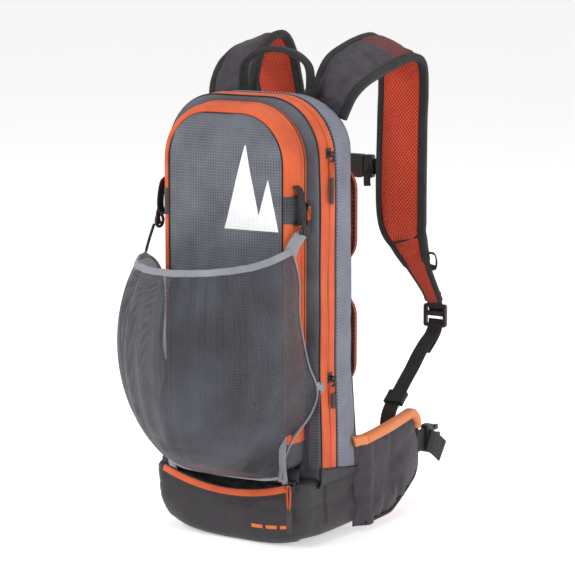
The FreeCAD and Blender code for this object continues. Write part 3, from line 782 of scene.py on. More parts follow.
def stitching(name, lines, stitch=2.4, pitch=3.6, radius=0.32):
    """Rows of separate stitches along smooth lines that lie on the cloth."""
    hexagon = [(math.cos(k * math.pi / 3), math.sin(k * math.pi / 3)) for k in range(6)]
    form = bmesh.new()
    for line in lines:
        places = even(line, pitch)
        for here, following in zip(places, places[1:]):
            run = (following - here).normalized()
            side = run.orthogonal().normalized()
            through = run.cross(side)
            rings = []
            for t, grow in ((0, 0.35), (0.2, 1), (0.8, 1), (1, 0.35)):
                centre = here + run * stitch * t
                rings.append([form.verts.new((centre + (side * a + through * b) * radius * grow) * MM)
                              for a, b in hexagon])
            for first, second in zip(rings, rings[1:]):
                for k in range(6):
                    form.faces.new((first[k], first[(k + 1) % 6], second[(k + 1) % 6], second[k]))
            form.faces.new(rings[0][::-1])
            form.faces.new(rings[-1])
    mesh = bpy.data.meshes.new(name)
    form.to_mesh(mesh)
    form.free()
    mesh.uv_layers.new(name="UVMap")
    obj = bpy.data.objects.new(name, mesh)
    bpy.context.scene.collection.objects.link(obj)
    return obj


def ripple(point, size, depth, stretch=(1, 1, 1)):
    """A smooth fixed height at a point, for creases about this size."""
    return depth * noise.noise(Vector([p * s / size for p, s in zip(point, stretch)]))


def crease(point, size, depth, stretch=(1, 1, 1)):
    """Like ripple, but with soft humps between sharp valleys, as slack cloth folds."""
    value = noise.noise(Vector([p * s / size for p, s in zip(point, stretch)]))
    return depth * (math.sqrt(abs(value)) - 0.5)


def inflate(obj, seam, pressure=4.0, cap=6.0, slack=0.06, frames=20):
    """Swell a closed fabric form in a short cloth simulation, its seam held where it is."""
    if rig.quick():
        return
    scene = bpy.context.scene
    rest = np.array([tuple(vertex.co) for vertex in obj.data.vertices])
    group = obj.vertex_groups.new(name="seam")
    group.add(seam, 1.0, "REPLACE")
    cloth = obj.modifiers.new("Swell", "CLOTH")
    cloth.settings.quality = 6
    cloth.settings.mass = 0.2
    cloth.settings.use_pressure = True
    cloth.settings.uniform_pressure_force = pressure
    cloth.settings.effector_weights.gravity = 0
    cloth.settings.vertex_group_mass = "seam"
    cloth.settings.shrink_min = -slack
    cloth.settings.bending_stiffness = 0.4
    cloth.point_cache.frame_start = 1
    cloth.point_cache.frame_end = frames
    for number in range(1, frames + 1):
        scene.frame_set(number)
    swollen = obj.evaluated_get(bpy.context.evaluated_depsgraph_get()).data
    moved = np.array([tuple(vertex.co) for vertex in swollen.vertices]) - rest
    distance = np.linalg.norm(moved, axis=1, keepdims=True)
    moved *= np.minimum(1, cap * MM / np.maximum(distance, 1e-9))
    obj.modifiers.clear()
    obj.vertex_groups.clear()
    obj.data.vertices.foreach_set("co", (rest + moved).ravel())
    obj.data.update()
    scene.frame_set(1)


# Cord -----------------------------------------------------------------------------------------

NET_CORD_ROUTE = [(-0.090, -0.066, 0.331), (-0.089, -0.077, 0.317), (-0.086, -0.088, 0.302)]
NET_CORD_DIAMETER = 0.003
NET_CORD_LENGTH = 0.0366


def make_net_cord():
    """The cord that ties the net's left corner to its hook."""
    curve = bpy.data.curves.new("net_tie_cord", "CURVE")
    curve.dimensions = "3D"
    curve.bevel_depth = NET_CORD_DIAMETER / 2
    curve.bevel_resolution = 4
    curve.resolution_u = 24
    curve.use_fill_caps = True
    spline = curve.splines.new("NURBS")
    spline.points.add(len(NET_CORD_ROUTE) - 1)
    for point, place_at in zip(spline.points, NET_CORD_ROUTE):
        point.co = (*place_at, 1)
    spline.order_u = 3
    spline.use_endpoint_u = True
    cord = bpy.data.objects.new("net_tie_cord", curve)
    bpy.context.scene.collection.objects.link(cord)
    place(cord, "flap", "black_webbing", "black_cord", replaces=["net_cord"])
    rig.cord(cord, exit=NET_CORD_ROUTE[0], length=NET_CORD_LENGTH, diameter=NET_CORD_DIAMETER,
            far_end="object", stiffness="limp", lay="taut")


# Sack -----------------------------------------------------------------------------------------


def sack_arch(low, step=4.0):
    """The sack's outline in its front view, and how it faces, from lower left to lower right."""
    path = rounded([(-SACK_HALF, low, 0), (-TOP_HALF, ARCH_TOP, SACK_CROWN), (TOP_HALF, ARCH_TOP, SACK_CROWN),
                    (SACK_HALF, low, 0)], step)
    return path, left_normals(path)


def zip_sway(distance):
    """How far the main zip wanders sideways from its straight line."""
    return 2.3 * math.sin(distance / 47 + 0.6) + 0.9 * math.sin(distance / 19)


def arch_strip(name, low, profile, step=4.0):
    """A sheet along the sack's arch; profile gives its (outward, y) lines at a distance along it."""
    path, normals = sack_arch(low, step)
    rows = []
    for i, (point, normal) in enumerate(zip(path, normals)):
        rows.append([Vector((point.x + normal.x * out, y, point.y + normal.y * out))
                     for out, y in profile(i * step, point)])
    return surface(name, rows, inside=(0, 0, 240))


def sack_crease(point, y):
    """Slack creases across the sides, deeper low down, and finer ones over the crown."""
    low = max(0.0, 1 - (point.y - SEAM_Z) / 330)
    hold = max(0.0, min(1.0, (point.y - SEAM_Z - 8) / 22))
    place_at = (point.x, y, point.y)
    slant = (point.x, y, point.y - 0.5 * y)
    folds = crease(slant, 62, 2.4 + 3.2 * low, (0.4, 0.5, 1.5)) + crease(slant, 24, 0.9 + 1.4 * low, (0.4, 0.5, 1.5))
    return (folds + ripple(place_at, 11, 0.3 + 0.5 * low, (1, 0.7, 1.7))) * hold


def rear_taper(z):
    """How far the sack's soft rear edge draws in from its front outline."""
    return 2.5 + (REAR_TAPER - 2.5) * min(1.0, (z - SEAM_Z) / 110)


def make_sack():
    """The side and top skin, the back skin and what they hold inside."""

    def skin(distance, point):
        front = ZIP_Y + TAPE_WIDTH + 0.6 * zip_sway(distance)
        taper = rear_taper(point.y)
        lines = [(-0.6, front - 2), (0.3, front + 0.4), (1.2, front + 2)]
        for u in np.linspace(0.08, 0.97, 17):
            y = front + (BACK_Y - 1.5 - front) * u
            swell = 1.2 + 2.0 * math.sin(math.pi * u) ** 0.8 - taper * u ** 2.4
            lines.append((swell + sack_crease(point, y) * math.sin(math.pi * u) ** 0.5, y))
        return lines + [(-taper - 0.8, BACK_Y - 0.4), (-taper - 3.5, BACK_Y + 0.4)]

    sack = thicken(arch_strip("sack_skin", SEAM_Z - 2, skin, 3.0), 1.2)
    place(sack, "pack", "side_fabric", "side", replaces=["side_panel_left", "side_panel_right", "top_panel"])

    def seam_at(offset, out):
        path, normals = sack_arch(SEAM_Z + 2, 4.0)
        return [Vector((p.x + n.x * out, ZIP_Y + TAPE_WIDTH + 0.6 * zip_sway(i * 4.0) + offset, p.y + n.y * out))
                for i, (p, n) in enumerate(zip(path, normals))]

    seams = stitching("sack_stitching", [seam_at(3.4, 2.1)])
    place(seams, "pack", "lining", "thread")

    path, normals = sack_arch(SEAM_Z, 5.0)
    cord = [Vector((p.x - n.x * (rear_taper(p.y) + 1), BACK_Y + 0.2, p.y - n.y * (rear_taper(p.y) + 1)))
            for p, n in zip(path, normals)]
    piping = sweep("back_edge_piping", cord, oval(3.4, 3.4, 2, 10), DEEP)
    place(piping, "pack", "charcoal_fabric", "binding")

    rows = []
    for z, half in arch_rows(SACK_HALF, SEAM_Z - 2, ARCH_TOP - REAR_TAPER - 2, 1, SACK_CROWN, 7.0):
        half -= rear_taper(z) + 2
        row = []
        for q in np.linspace(-1, 1, 41):
            x = q * half
            quilt = 1.6 * math.sqrt(max(0, 1 - q ** 8)) + ripple((x, 0, z), 34, 0.9)
            row.append(Vector((x, BACK_Y - 1.2 + quilt - 1.2 * math.exp(-(x / 9) ** 2), z)))
        rows.append(row)
    back = thicken(surface("back_skin", rows, inside=(0, 0, 240)), 3.5)
    place(back, "pack", "charcoal_fabric", "coated", replaces=["back_panel"])

    low, high = span("bladder_sleeve")
    rows = []
    for v in np.linspace(0, 1, 36):
        z = low.z + (high.z - low.z) * v
        rows.append([Vector((low.x + (high.x - low.x) * u, (low.y + high.y) / 2 - 3 * math.sin(math.pi * u) ** 0.6
                             * math.sin(math.pi * min(1, v * 1.1)) + ripple((u * 90, 0, z), 24, 1.2), z))
                     for u in np.linspace(0, 1, 28)])
    sleeve = thicken(surface("bladder_sleeve_cloth", rows, inside=(0, 100, 240)), 0.8)
    place(sleeve, "pack", "lining", "lining", replaces=["bladder_sleeve"])


def arch_rows(half, low, top, foot, crown, step):
    """Heights and half widths of an arched outline with small lower corners."""
    rows = []
    for angle in np.linspace(0, math.pi / 2, 5)[:-1]:
        rows.append((low + foot * (1 - math.cos(angle)), half - foot + foot * math.sin(angle)))
    straight = np.linspace(low + foot, top - crown, max(2, round((top - crown - low - foot) / step)))
    rows += [(z, half) for z in straight]
    for angle in np.linspace(0, math.pi / 2, 16)[1:]:
        rows.append((top - crown + crown * math.sin(angle), half - crown + crown * math.cos(angle)))
    return rows


# Main zip -------------------------------------------------------------------------------------


def make_main_zip():
    """Two ribbed tapes along the arch, the dark coil between them and their seams."""
    for side, body, node, low in ((1, "pack", "main_zip_tape_rear", SEAM_Z + 0.5),
                                  (-1, "flap", "main_zip_tape_front", FLAP_Z)):

        def tape(distance, point):
            sway = zip_sway(distance)
            lift = 0.5 * math.sin(distance / 17) + 0.4 * math.sin(distance / 40)
            lines = []
            for away, out in ((0.5, 0.0), (0.55, 1.7), (1.6, 2.7), (3.0, 2.9), (4.6, 2.3), (7, 2.1), (10, 2.1),
                              (12.6, 1.9), (14, 1.2), (14.6, 0.1)):
                lines.append((out + lift * (1 - away / 15), ZIP_Y + sway * (1 - 0.03 * away) + side * away))
            return lines

        strip = thicken(arch_strip("zip_tape_" + body, low, tape, 3.0), 0.7)
        place(strip, body, "orange_fabric", "orange", replaces=[node])
        path, normals = sack_arch(low + 1, 2.0)
        edge = [Vector((p.x + n.x * 1.2, ZIP_Y + 0.56 * zip_sway(i * 2.0) + side * 15.0, p.y + n.y * 1.2))
                for i, (p, n) in enumerate(zip(path, normals))]
        cord = sweep("zip_edge_cord_" + body, edge, oval(1.5, 1.5, 2, 8), DEEP)
        place(cord, body, "lining", "thread")

        if body == "flap":
            for x_side, name in ((1, "right"), (-1, "left")):
                lines = tape(0, None)
                rows = [[Vector((x_side * (SACK_HALF + out), y, z)) for out, y in lines]
                        for z in np.linspace(SEAM_Z - 1.5, FLAP_Z + 3, 8)]
                foot = thicken(surface("zip_tape_foot_" + name, rows, inside=(0, 0, 76)), 0.7)
                bridge(foot, "orange_fabric", "orange", ("pack", "flap"), (0, 0, SEAM_Z + 1), (0, 0, FLAP_Z + 2))

    path, normals = sack_arch(SEAM_Z + 1, 0.8)
    coil = [Vector((p.x + n.x * 1.1, ZIP_Y + zip_sway(i * 0.8), p.y + n.y * 1.1))
            for i, (p, n) in enumerate(zip(path, normals))]
    swell = [1.0 if i % 2 else 0.7 for i in range(len(coil))]
    teeth = sweep("main_zip_coil", coil, oval(1.9, 1.7, 2, 8), DEEP, widths=swell, depths=swell)
    place(teeth, "pack", "black_plastic", "plastic")


# Front flap -----------------------------------------------------------------------------------


def pocket_outline(step=4.0):
    """The front pocket's closed outline and how it faces."""
    half = POCKET_HIGH.x
    path = rounded([(-half, POCKET_LOW.z, POCKET_FOOT), (-half, POCKET_TOP, POCKET_CROWN),
                    (half, POCKET_TOP, POCKET_CROWN), (half, POCKET_LOW.z, POCKET_FOOT)], step, closed=True)
    return path, left_normals(path, closed=True)


def pocket_face_y(x, z):
    """How far forward the pocket's crowned face stands at a place on it."""
    u = max(-1.0, min(1.0, x / (POCKET_HIGH.x - POCKET_SEAM)))
    v = max(0.0, min(1.0, (z - POCKET_LOW.z) / (POCKET_TOP - POCKET_LOW.z)))
    crown = 5.0 * (1 - u * u) ** 0.6 * math.sin(math.pi * v) ** 0.5
    folds = ripple((x, 0, z), 70, 3.2, (1.0, 1, 0.8)) + ripple((x + z * 0.5, 0, z), 24, 1.0)
    return POCKET_LOW.y - 1.2 - crown - folds * (1 - u ** 4) * math.sin(math.pi * v) ** 0.3


def make_flap():
    """The flap's border and lining, and the fabric that joins it to the base."""

    def border(distance, point):
        slack = ripple((point.x, 0, point.y), 18, 0.8)
        return [(-0.6, FRONT_Y + 4), (0.4, FRONT_Y + 2), (0.5, FRONT_Y + 0.6), (-0.4, FRONT_Y - 0.8),
                (-2.2, FRONT_Y - 1.6), (-5, FRONT_Y - 2 - slack), (-9, FRONT_Y - 2.4 - slack),
                (-13, FRONT_Y - 2.2 - slack), (-20, FRONT_Y - 1.4), (-28, FRONT_Y - 0.8)]

    edge = thicken(arch_strip("flap_border", FLAP_Z, border), 1.2)
    place(edge, "flap", "grey_fabric", "panel", replaces=["front_panel"])

    rows = []
    for z, half in arch_rows(SACK_HALF - 4, FLAP_Z, ARCH_TOP - 4, 1, SACK_CROWN, 9.0):
        rows.append([Vector((q * half, FRONT_Y + 1.5 + ripple((q * half, 0, z), 40, 0.8), z))
                     for q in np.linspace(-1, 1, 30)])
    lining = thicken(surface("flap_lining", rows, inside=(0, -300, 240)), 1.0)
    place(lining, "flap", "lining", "lining")

    rows = []
    for x in np.linspace(-POCKET_HIGH.x - 8, POCKET_HIGH.x + 8, 60):
        slack = ripple((x, 0, 0), 9, 1.0)
        rows.append([Vector((x, BASE_LOW.y + 2.5, SEAM_Z - 3)), Vector((x, BASE_LOW.y + 0.8, SEAM_Z + 2)),
                     Vector((x, BASE_LOW.y + 0.6 + slack, SEAM_Z + 6)),
                     Vector((x, BASE_LOW.y + 1.8 + slack, SEAM_Z + 10)),
                     Vector((x, BASE_LOW.y + 4, SEAM_Z + 15))])
    hinge = thicken(surface("flap_hinge_fabric", rows, inside=(0, 0, 76)), 1.0)
    bridge(hinge, "charcoal_fabric", "coated", ("pack", "flap"), (0, 0, SEAM_Z + 2), (0, 0, SEAM_Z + 12))

    for side, name in ((1, "right"), (-1, "left")):
        rows = []
        for x in np.linspace(70, BASE_HIGH.x - 1.2, 16):
            turn = max(0.0, x - (BASE_HIGH.x - BASE_CORNER)) / BASE_CORNER
            front = BASE_LOW.y + 0.8 + BASE_CORNER * (1 - math.sqrt(max(0, 1 - turn * turn)))
            rows.append([Vector((side * x, y, SEAM_Z - 0.4 + 1.5 * math.sin(math.pi * t) ** 0.5
                                 + ripple((x, y, 0), 12, 0.8) * math.sin(math.pi * t)))
                         for t, y in ((t, front + (FRONT_Y + 4 - front) * t) for t in np.linspace(0, 1, 14))])
        shelf = thicken(surface("base_shelf_" + name, rows, inside=(0, -40, 40)), 1.0)
        place(shelf, "pack", "charcoal_fabric", "coated")

        corner = rounded([(72, FRONT_Y - 1.8, 0), (SACK_HALF + 0.4, FRONT_Y - 1.8, 5), (SACK_HALF + 0.4, -28, 0)], 2.0)
        rows = [[Vector((side * p.x, p.y, z)) for p in corner] for z in np.linspace(SEAM_Z - 1, FLAP_Z + 4, 9)]
        skirt = thicken(surface("flap_skirt_" + name, rows, inside=(0, 0, 76)), 0.8)
        bridge(skirt, "grey_fabric", "panel", ("pack", "flap"), (0, 0, SEAM_Z + 1), (0, 0, FLAP_Z + 3))

        webbing = band("grosgrain_" + name, [(side * 90, FRONT_Y - 2.6, 81), (side * 90.5, FRONT_Y - 3.6, 110),
                                             (side * 91, FRONT_Y - 3.8, 140), (side * 92, FRONT_Y - 3.0, 168)],
                       13, 1.4, ACROSS)
        place(webbing, "flap", "black_webbing", "grosgrain")


def make_pocket():
    """The front pocket: its checked face, orange gusset, seam, zip and reinforcing patches."""
    path, normals = pocket_outline(3.0)
    profile = [(-POCKET_SEAM, -1.2), (-6.2, -2.4), (-4.0, -2.6), (-2.0, -1.6), (-0.4, 0.8), (0.8, 4.5), (1.6, 9),
               (2.0, 14), (1.6, 19), (0.8, 24), (0, 29.5)]
    rows = []
    for i, (point, normal) in enumerate(zip(path, normals)):
        row = []
        for out, back in profile:
            place_at = (point.x + point.y, back * 3.2, point.y * 0.35)
            out += ripple(place_at, 16, 0.9) * min(1, back / 8 if back > 0 else 0)
            row.append(Vector((point.x + normal.x * out, POCKET_LOW.y + back, point.y + normal.y * out)))
        rows.append(row)
    gusset = thicken(surface("pocket_gusset_cloth", rows, loop=True, inside=(0, -50, 270)), 1.0)
    place(gusset, "flap", "orange_fabric", "orange", "ripstop_dark", replaces=["pocket_gusset", "pocket_piping"])
    for polygon in gusset.data.polygons:
        if polygon.center.z < GUSSET_FOOT * MM:
            polygon.material_index = 1

    rows = []
    half, inset = POCKET_HIGH.x - POCKET_SEAM, POCKET_SEAM
    for z, half_here in arch_rows(half, POCKET_LOW.z + inset, POCKET_TOP - inset, POCKET_FOOT - inset,
                                  POCKET_CROWN - inset, 4.5):
        rows.append([Vector((q * half_here, pocket_face_y(q * half_here, z), z)) for q in np.linspace(-1, 1, 61)])
    face = thicken(surface("pocket_front", rows, inside=(0, 0, 270)), 1.0)
    place(face, "flap", "grey_fabric", "ripstop", replaces=["pocket_face"])

    seam = [Vector((p.x - n.x * (POCKET_SEAM + 0.4), POCKET_LOW.y - 1.7, p.y - n.y * (POCKET_SEAM + 0.4)))
            for p, n in zip(path, normals)]
    place(sweep("pocket_seam_cord", seam, oval(1.6, 1.4, 2, 8), DEEP, loop=True), "flap", "lining", "thread")

    rows = []
    low = 190
    legs = [i for i, point in enumerate(path) if point.y > low]
    start = next(i for i in legs if path[i - 1].y <= low and path[i].x < 0)
    ordered = [(start + k) % len(path) for k in range(len(legs))]
    for i in ordered:
        point, normal = path[i], normals[i]
        rows.append([Vector((point.x + normal.x * out, y, point.y + normal.y * out))
                     for out, y in ((1.2, -45.2), (2.6, -44.6), (3.2, -42.6), (2.7, -40.8), (2.7, -40.2),
                                    (3.2, -38.4), (2.6, -36.4), (1.2, -35.8))])
    tape = thicken(surface("pocket_zip_cloth", rows, inside=(0, -40, 270)), 0.7)
    place(tape, "flap", "orange_fabric", "orange", replaces=["pocket_zip_tape"])
    line = [Vector((path[i].x + normals[i].x * 2.9, -40.5, path[i].y + normals[i].y * 2.9)) for i in ordered]
    line = even(line, 0.8)
    swell = [1.0 if i % 2 else 0.7 for i in range(len(line))]
    coil = sweep("pocket_zip_coil", line, oval(1.5, 1.3, 2, 8), DEEP, widths=swell, depths=swell)
    place(coil, "flap", "black_plastic", "plastic")

    for side, name in ((1, "right"), (-1, "left")):
        rows = []
        for z in np.linspace(343, 371, 10):
            rows.append([Vector((side * (POCKET_HIGH.x + out), POCKET_LOW.y + back, z))
                         for out, back in ((-6.5, -3.0), (-2.0, -2.4), (0.3, 0.6), (1.8, 4.5), (2.8, 9),
                                           (3.2, 14), (3.0, 19), (2.6, 24), (1.6, 29))])
        patch = thicken(surface("gusset_patch_" + name, rows, inside=(0, -50, 270)), 0.6)
        place(patch, "flap", "grey_fabric", "ripstop_dark")

    make_print()


def make_print():
    """A plain white two-peak mark on the pocket."""
    peaks = [((2, 334), (27, 424), (46, 334)), ((38, 334), (54, 388), (66, 334))]
    for number, (left, tip, right) in enumerate(peaks, start=1):
        rows = []
        for v in np.linspace(0, 0.97, 24):
            row = []
            for u in np.linspace(0, 1, 12):
                x = (left[0] + (right[0] - left[0]) * u) * (1 - v) + tip[0] * v
                z = left[1] * (1 - v) + tip[1] * v
                row.append(Vector((x, pocket_face_y(x, z) - 0.35, z)))
            rows.append(row)
        mark = surface(f"printed_peak_{number}", rows, inside=(0, 0, 300))
        place(mark, "flap", "grey_fabric", "ink")


# Base -----------------------------------------------------------------------------------------


def smile(x):
    """Height of the base pocket's open mouth at x."""
    centre = SMILE_LOW + SMILE_RADIUS
    return min(SEAM_Z, centre - math.sqrt(SMILE_RADIUS ** 2 - x * x))


def base_lift(x):
    """How much higher the slack bottom hangs towards its corners."""
    return 12 * (max(0.0, -x - 5) / 90) ** 2 + 8 * (max(0.0, x - 25) / 70) ** 2


def base_point(point, normal, height, top, inset=0.0):
    """A place on the base's wall, swollen and creased between its seams."""
    t = max(0.0, min(1.0, height / top))
    swell = 2.6 * math.sin(math.pi * t) ** 0.7
    place_at = (point.x, point.y, height)
    folds = (ripple(place_at, 42, 3.0, (0.8, 0.8, 1.3)) + crease(place_at, 60, 3.2, (0.7, 0.7, 1.5))
             + crease(place_at, 22, 1.0, (0.6, 0.6, 1.7)))
    corner = math.exp(-((BASE_HIGH.x - abs(point.x)) / 28) ** 2 - ((point.y - BASE_LOW.y) / 28) ** 2)
    draw_in = 8 * corner * (1 - t) ** 1.4
    out = swell + folds * math.sin(math.pi * t) ** 0.6 - inset
    z = height + base_lift(point.x) * (1 - t) ** 1.3
    return Vector((point.x + normal.x * out - math.copysign(draw_in, point.x), point.y + normal.y * out + draw_in, z))


def make_base():
    """The coated tub with its smile-shaped mouth, zip, piping, seams and inner folds."""
    half = BASE_HIGH.x
    path = rounded([(-half, BASE_LOW.y, BASE_CORNER), (-half, BASE_HIGH.y, BASE_CORNER),
                    (half, BASE_HIGH.y, BASE_CORNER), (half, BASE_LOW.y, BASE_CORNER)], 3.0, closed=True)
    normals = left_normals(path, closed=True)
    columns = []
    for point, normal in zip(path, normals):
        top = smile(point.x) if point.y < BASE_LOW.y + 3 else SEAM_Z
        column = [base_point(point, normal, top - 6, top, 3.0), base_point(point, normal, top - 1, top, 1.8),
                  base_point(point, normal, top, top, 0.6)]
        for height in np.linspace(top - 1.5, BASE_ROUND, 20):
            column.append(base_point(point, normal, height, top))
        for angle in np.linspace(0, math.pi / 2, 7)[1:]:
            height = BASE_ROUND * (1 - math.sin(angle))
            column.append(base_point(point, normal, height, top, BASE_ROUND * (1 - math.cos(angle))))
        edge = column[-1]
        for share in (0.15, 0.35, 0.6, 0.85, 1.0):
            x, y = edge.x * (1 - share * 0.99), edge.y + (-8 - edge.y) * share * 0.99
            column.append(Vector((x, y, base_lift(x) + (edge.z - base_lift(edge.x)) * (1 - share) + 0.4)))
        columns.append(column)
    tub = surface("base_tub", columns, loop=True, inside=(0, -8, 36))
    place(thicken(tub, 1.4), "pack", "charcoal_fabric", "coated", replaces=["base_shell"])

    for side, name in ((1, "right"), (-1, "left")):
        rows = []
        for t in np.linspace(0, 1, 26):
            y = FRONT_Y - 3 + (BACK_Y - 6 - FRONT_Y) * t
            top = SEAM_Z + 11.5 * (1 - t) ** 0.9
            slack = ripple((0, y, 0), 14, 0.8)
            rows.append([Vector((side * (half + 1.6), y, SEAM_Z - 9)), Vector((side * (half + 4.6), y, SEAM_Z - 4)),
                         Vector((side * (half + 5.0 + slack), y, (SEAM_Z + top) / 2)),
                         Vector((side * (half + 4.9 + slack), y, top)), Vector((side * (half + 3.6), y, top + 1.4))])
        lip = thicken(surface("base_side_lip_" + name, rows, inside=(0, 0, 76)), 1.0)
        place(lip, "pack", "charcoal_fabric", "coated")

    centre = Vector((0, BASE_LOW.y - 0.8, SMILE_LOW + SMILE_RADIUS))
    reach = math.radians(21.5)

    def along_smile(radius, y, step=3.0):
        angles = np.linspace(-reach, reach, round(2 * reach * radius / step))
        return [centre + Vector((math.sin(a) * radius, y, -math.cos(a) * radius)) for a in angles]

    lower = along_smile(SMILE_RADIUS + 2.6, -1.4)
    tape = sweep("base_zip_tape_lower_cloth", lower, oval(7.5, 3.0, 3, 14), [(p - centre).normalized() for p in lower])
    place(tape, "pack", "orange_fabric", "orange", replaces=["base_zip_tape_lower"])
    line = along_smile(SMILE_RADIUS - 1.4, -1.0, 0.8)
    swell = [1.0 if i % 2 else 0.65 for i in range(len(line))]
    teeth = sweep("base_zip_coil", line, oval(2.0, 1.7, 2, 8), DEEP, widths=swell, depths=swell)
    place(teeth, "pack", "black_plastic", "plastic")
    seam = stitching("base_zip_stitching", [along_smile(SMILE_RADIUS + 10.5, -3.0)])
    place(seam, "pack", "lining", "thread")

    upper = [Vector((x, BASE_LOW.y + 1.4 + 3 * (x / 82) ** 8, SEAM_Z + 1.6)) for x in np.linspace(-82, 82, 56)]
    tape = sweep("base_zip_tape_upper_cloth", upper, oval(4.2, 2.0, 3, 14), UP)
    place(tape, "pack", "orange_fabric", "orange", replaces=["base_zip_tape_upper"])

    for side, name in ((1, "right"), (-1, "left")):
        lift = base_lift(side * half)
        rear = [Vector((side * (half - 2.4), BASE_HIGH.y - 2.4, z + 2 + lift * (1 - z / SEAM_Z) ** 1.3))
                for z in np.linspace(8, SEAM_Z - 2, 18)]
        rear.insert(0, Vector((side * (half - 9), BASE_HIGH.y - 8, 6 + lift)))
        piping = sweep("base_piping_" + name, smooth(rear, 3), oval(3.2, 3.2, 2, 10))
        place(piping, "pack", "binding_grey", "grey_elastic")

    rows = []
    for x in np.linspace(-80, 80, 120):
        ruffle = ripple((x, 0, 5), 7, 3.5) + ripple((x, 0, 9), 17, 3.0)
        mouth = smile(x)
        rows.append([Vector((x, BASE_LOW.y + 2.5, mouth - 7)), Vector((x, BASE_LOW.y + 2.2, mouth - 2)),
                     Vector((x, BASE_LOW.y + 6 + ruffle, mouth + 2 + 0.4 * ruffle)),
                     Vector((x, BASE_LOW.y + 10 + ruffle, mouth + 5 - 0.7 * ruffle)),
                     Vector((x, BASE_LOW.y + 14 - ruffle, SEAM_Z - 5)),
                     Vector((x, BASE_LOW.y + 19, SEAM_Z + 2))])
    folds = thicken(surface("base_lining_folds", rows, inside=(0, 60, 30)), 0.7)
    place(folds, "pack", "lining", "lining")

    low, high = span("base_divider")
    rows = []
    for v in np.linspace(0, 1, 20):
        z = low.z + (high.z - low.z) * v
        inset = 14 * (1 - min(1, v * 4)) ** 2
        row = []
        for u in np.linspace(0, 1, 40):
            x = low.x + inset + (high.x - low.x - 2 * inset) * u
            y = (low.y + high.y) / 2 + ripple((u * 180, 0, z), 30, 1.4) + 1.5 * math.sin(math.pi * u)
            row.append(Vector((x, y, z + (base_lift(x) + 2) * (1 - v))))
        rows.append(row)
    divider = thicken(surface("base_divider_cloth", rows, inside=(0, 100, 36)), 0.8)
    place(divider, "pack", "lining", "lining", replaces=["base_divider"])

    side_seams = []
    for side in (1, -1):
        for shift in (-1.6, 1.6):
            heights = np.linspace(SEAM_Z - 2, 14, 24)
            spots = [base_point(Vector((side * half, -23 + shift)), Vector((side, 0)), h, SEAM_Z, -0.7)
                     for h in heights]
            side_seams.append(spots)
    top_seam = [Vector((p.x + n.x * 1.6, p.y + n.y * 1.6, SEAM_Z - 3.2))
                for p, n in zip(path, normals) if p.y > BASE_LOW.y + 3]
    side_seams.append(top_seam[:len(top_seam) // 2])
    side_seams.append(top_seam[len(top_seam) // 2:])
    place(stitching("base_stitching", side_seams), "pack", "lining", "thread")

    for number, (x0, x1) in enumerate(((30, 44), (48, 62), (66, 74)), start=1):
        rows = []
        for x in np.linspace(x0, x1, 8):
            row = []
            for height in np.linspace(19, 23, 4):
                top = smile(x)
                spot = base_point(Vector((x, BASE_LOW.y)), Vector((0, -1)), height, top, -0.35)
                row.append(spot)
            rows.append(row)
        dash = surface(f"printed_dash_{number}", rows, inside=(0, 0, 20))
        place(dash, "pack", "charcoal_fabric", "ink_orange")


# Helmet net -----------------------------------------------------------------------------------

# The net's right free edge, from its upper corner down to the base pocket; the left one mirrors it.
NET_EDGE = [(86, -73, 319), (86.5, -60, 285), (85, -57, 248), (92, -52, 200), (95, -38, 168), (91, -46, 143),
            (79, -61, 119), (70, -66, 93), (66, -66.5, 74)]
NET_CORNER_LEFT = Vector((-86, -88, 302))


def net_edge(side, share):
    """A point on the net's free edge, from its top at 0 to the base pocket at 1."""
    line = NET_EDGE_LINE
    place_at = share * (len(line) - 1)
    i = min(int(place_at), len(line) - 2)
    point = line[i].lerp(line[i + 1], place_at - i)
    if side > 0:
        return point
    mirrored = Vector((-point.x, point.y, point.z))
    drop = (1 - min(1, share * 5)) ** 2
    top = Vector((-NET_EDGE[0][0], NET_EDGE[0][1], NET_EDGE[0][2]))
    return mirrored + (NET_CORNER_LEFT - top) * drop


NET_EDGE_LINE = smooth(NET_EDGE, 4.0)


def net_point(s, t):
    """A point on the loaded net: s runs from its left edge at -1 to its right at 1, t from rim to foot."""
    rim = math.radians(41 - 4.0 * (1 - s * s) - 2.0 * (1 - s) * 0.5)
    latitude = rim + (math.radians(-88) - rim) * t
    longitude = math.radians(88) * s
    ball = Vector((math.sin(longitude) * math.cos(latitude), -math.cos(longitude) * math.cos(latitude),
                   math.sin(latitude)))
    tension = math.sin(s * 19 + 2.5 * math.sin(t * 4 + s * 3)) * 0.5 + math.sin(s * 41 + t * 5)
    fade = math.exp(-((t - 0.25) / 0.35) ** 2)
    fold = 1.5 * tension * fade + ripple((s * 90, 0, t * 40), 12, 1.4)
    ball = NET_CENTRE + Vector((ball.x * (NET_RADII.x - 2 + fold), ball.y * (NET_RADII.y - 2 + fold),
                                ball.z * (NET_RADII.z - 2)))
    foot = Vector((66 * s, -66.5 - 8 * (1 - s * s), 74))
    low = max(0.0, (t - 0.72) / 0.28)
    low = low * low * (3 - 2 * low)
    point = ball.lerp(foot, low)
    edge = max(0.0, (abs(s) - 0.72) / 0.28)
    edge = edge * edge * (3 - 2 * edge)
    return point.lerp(net_edge(math.copysign(1, s), t), edge)


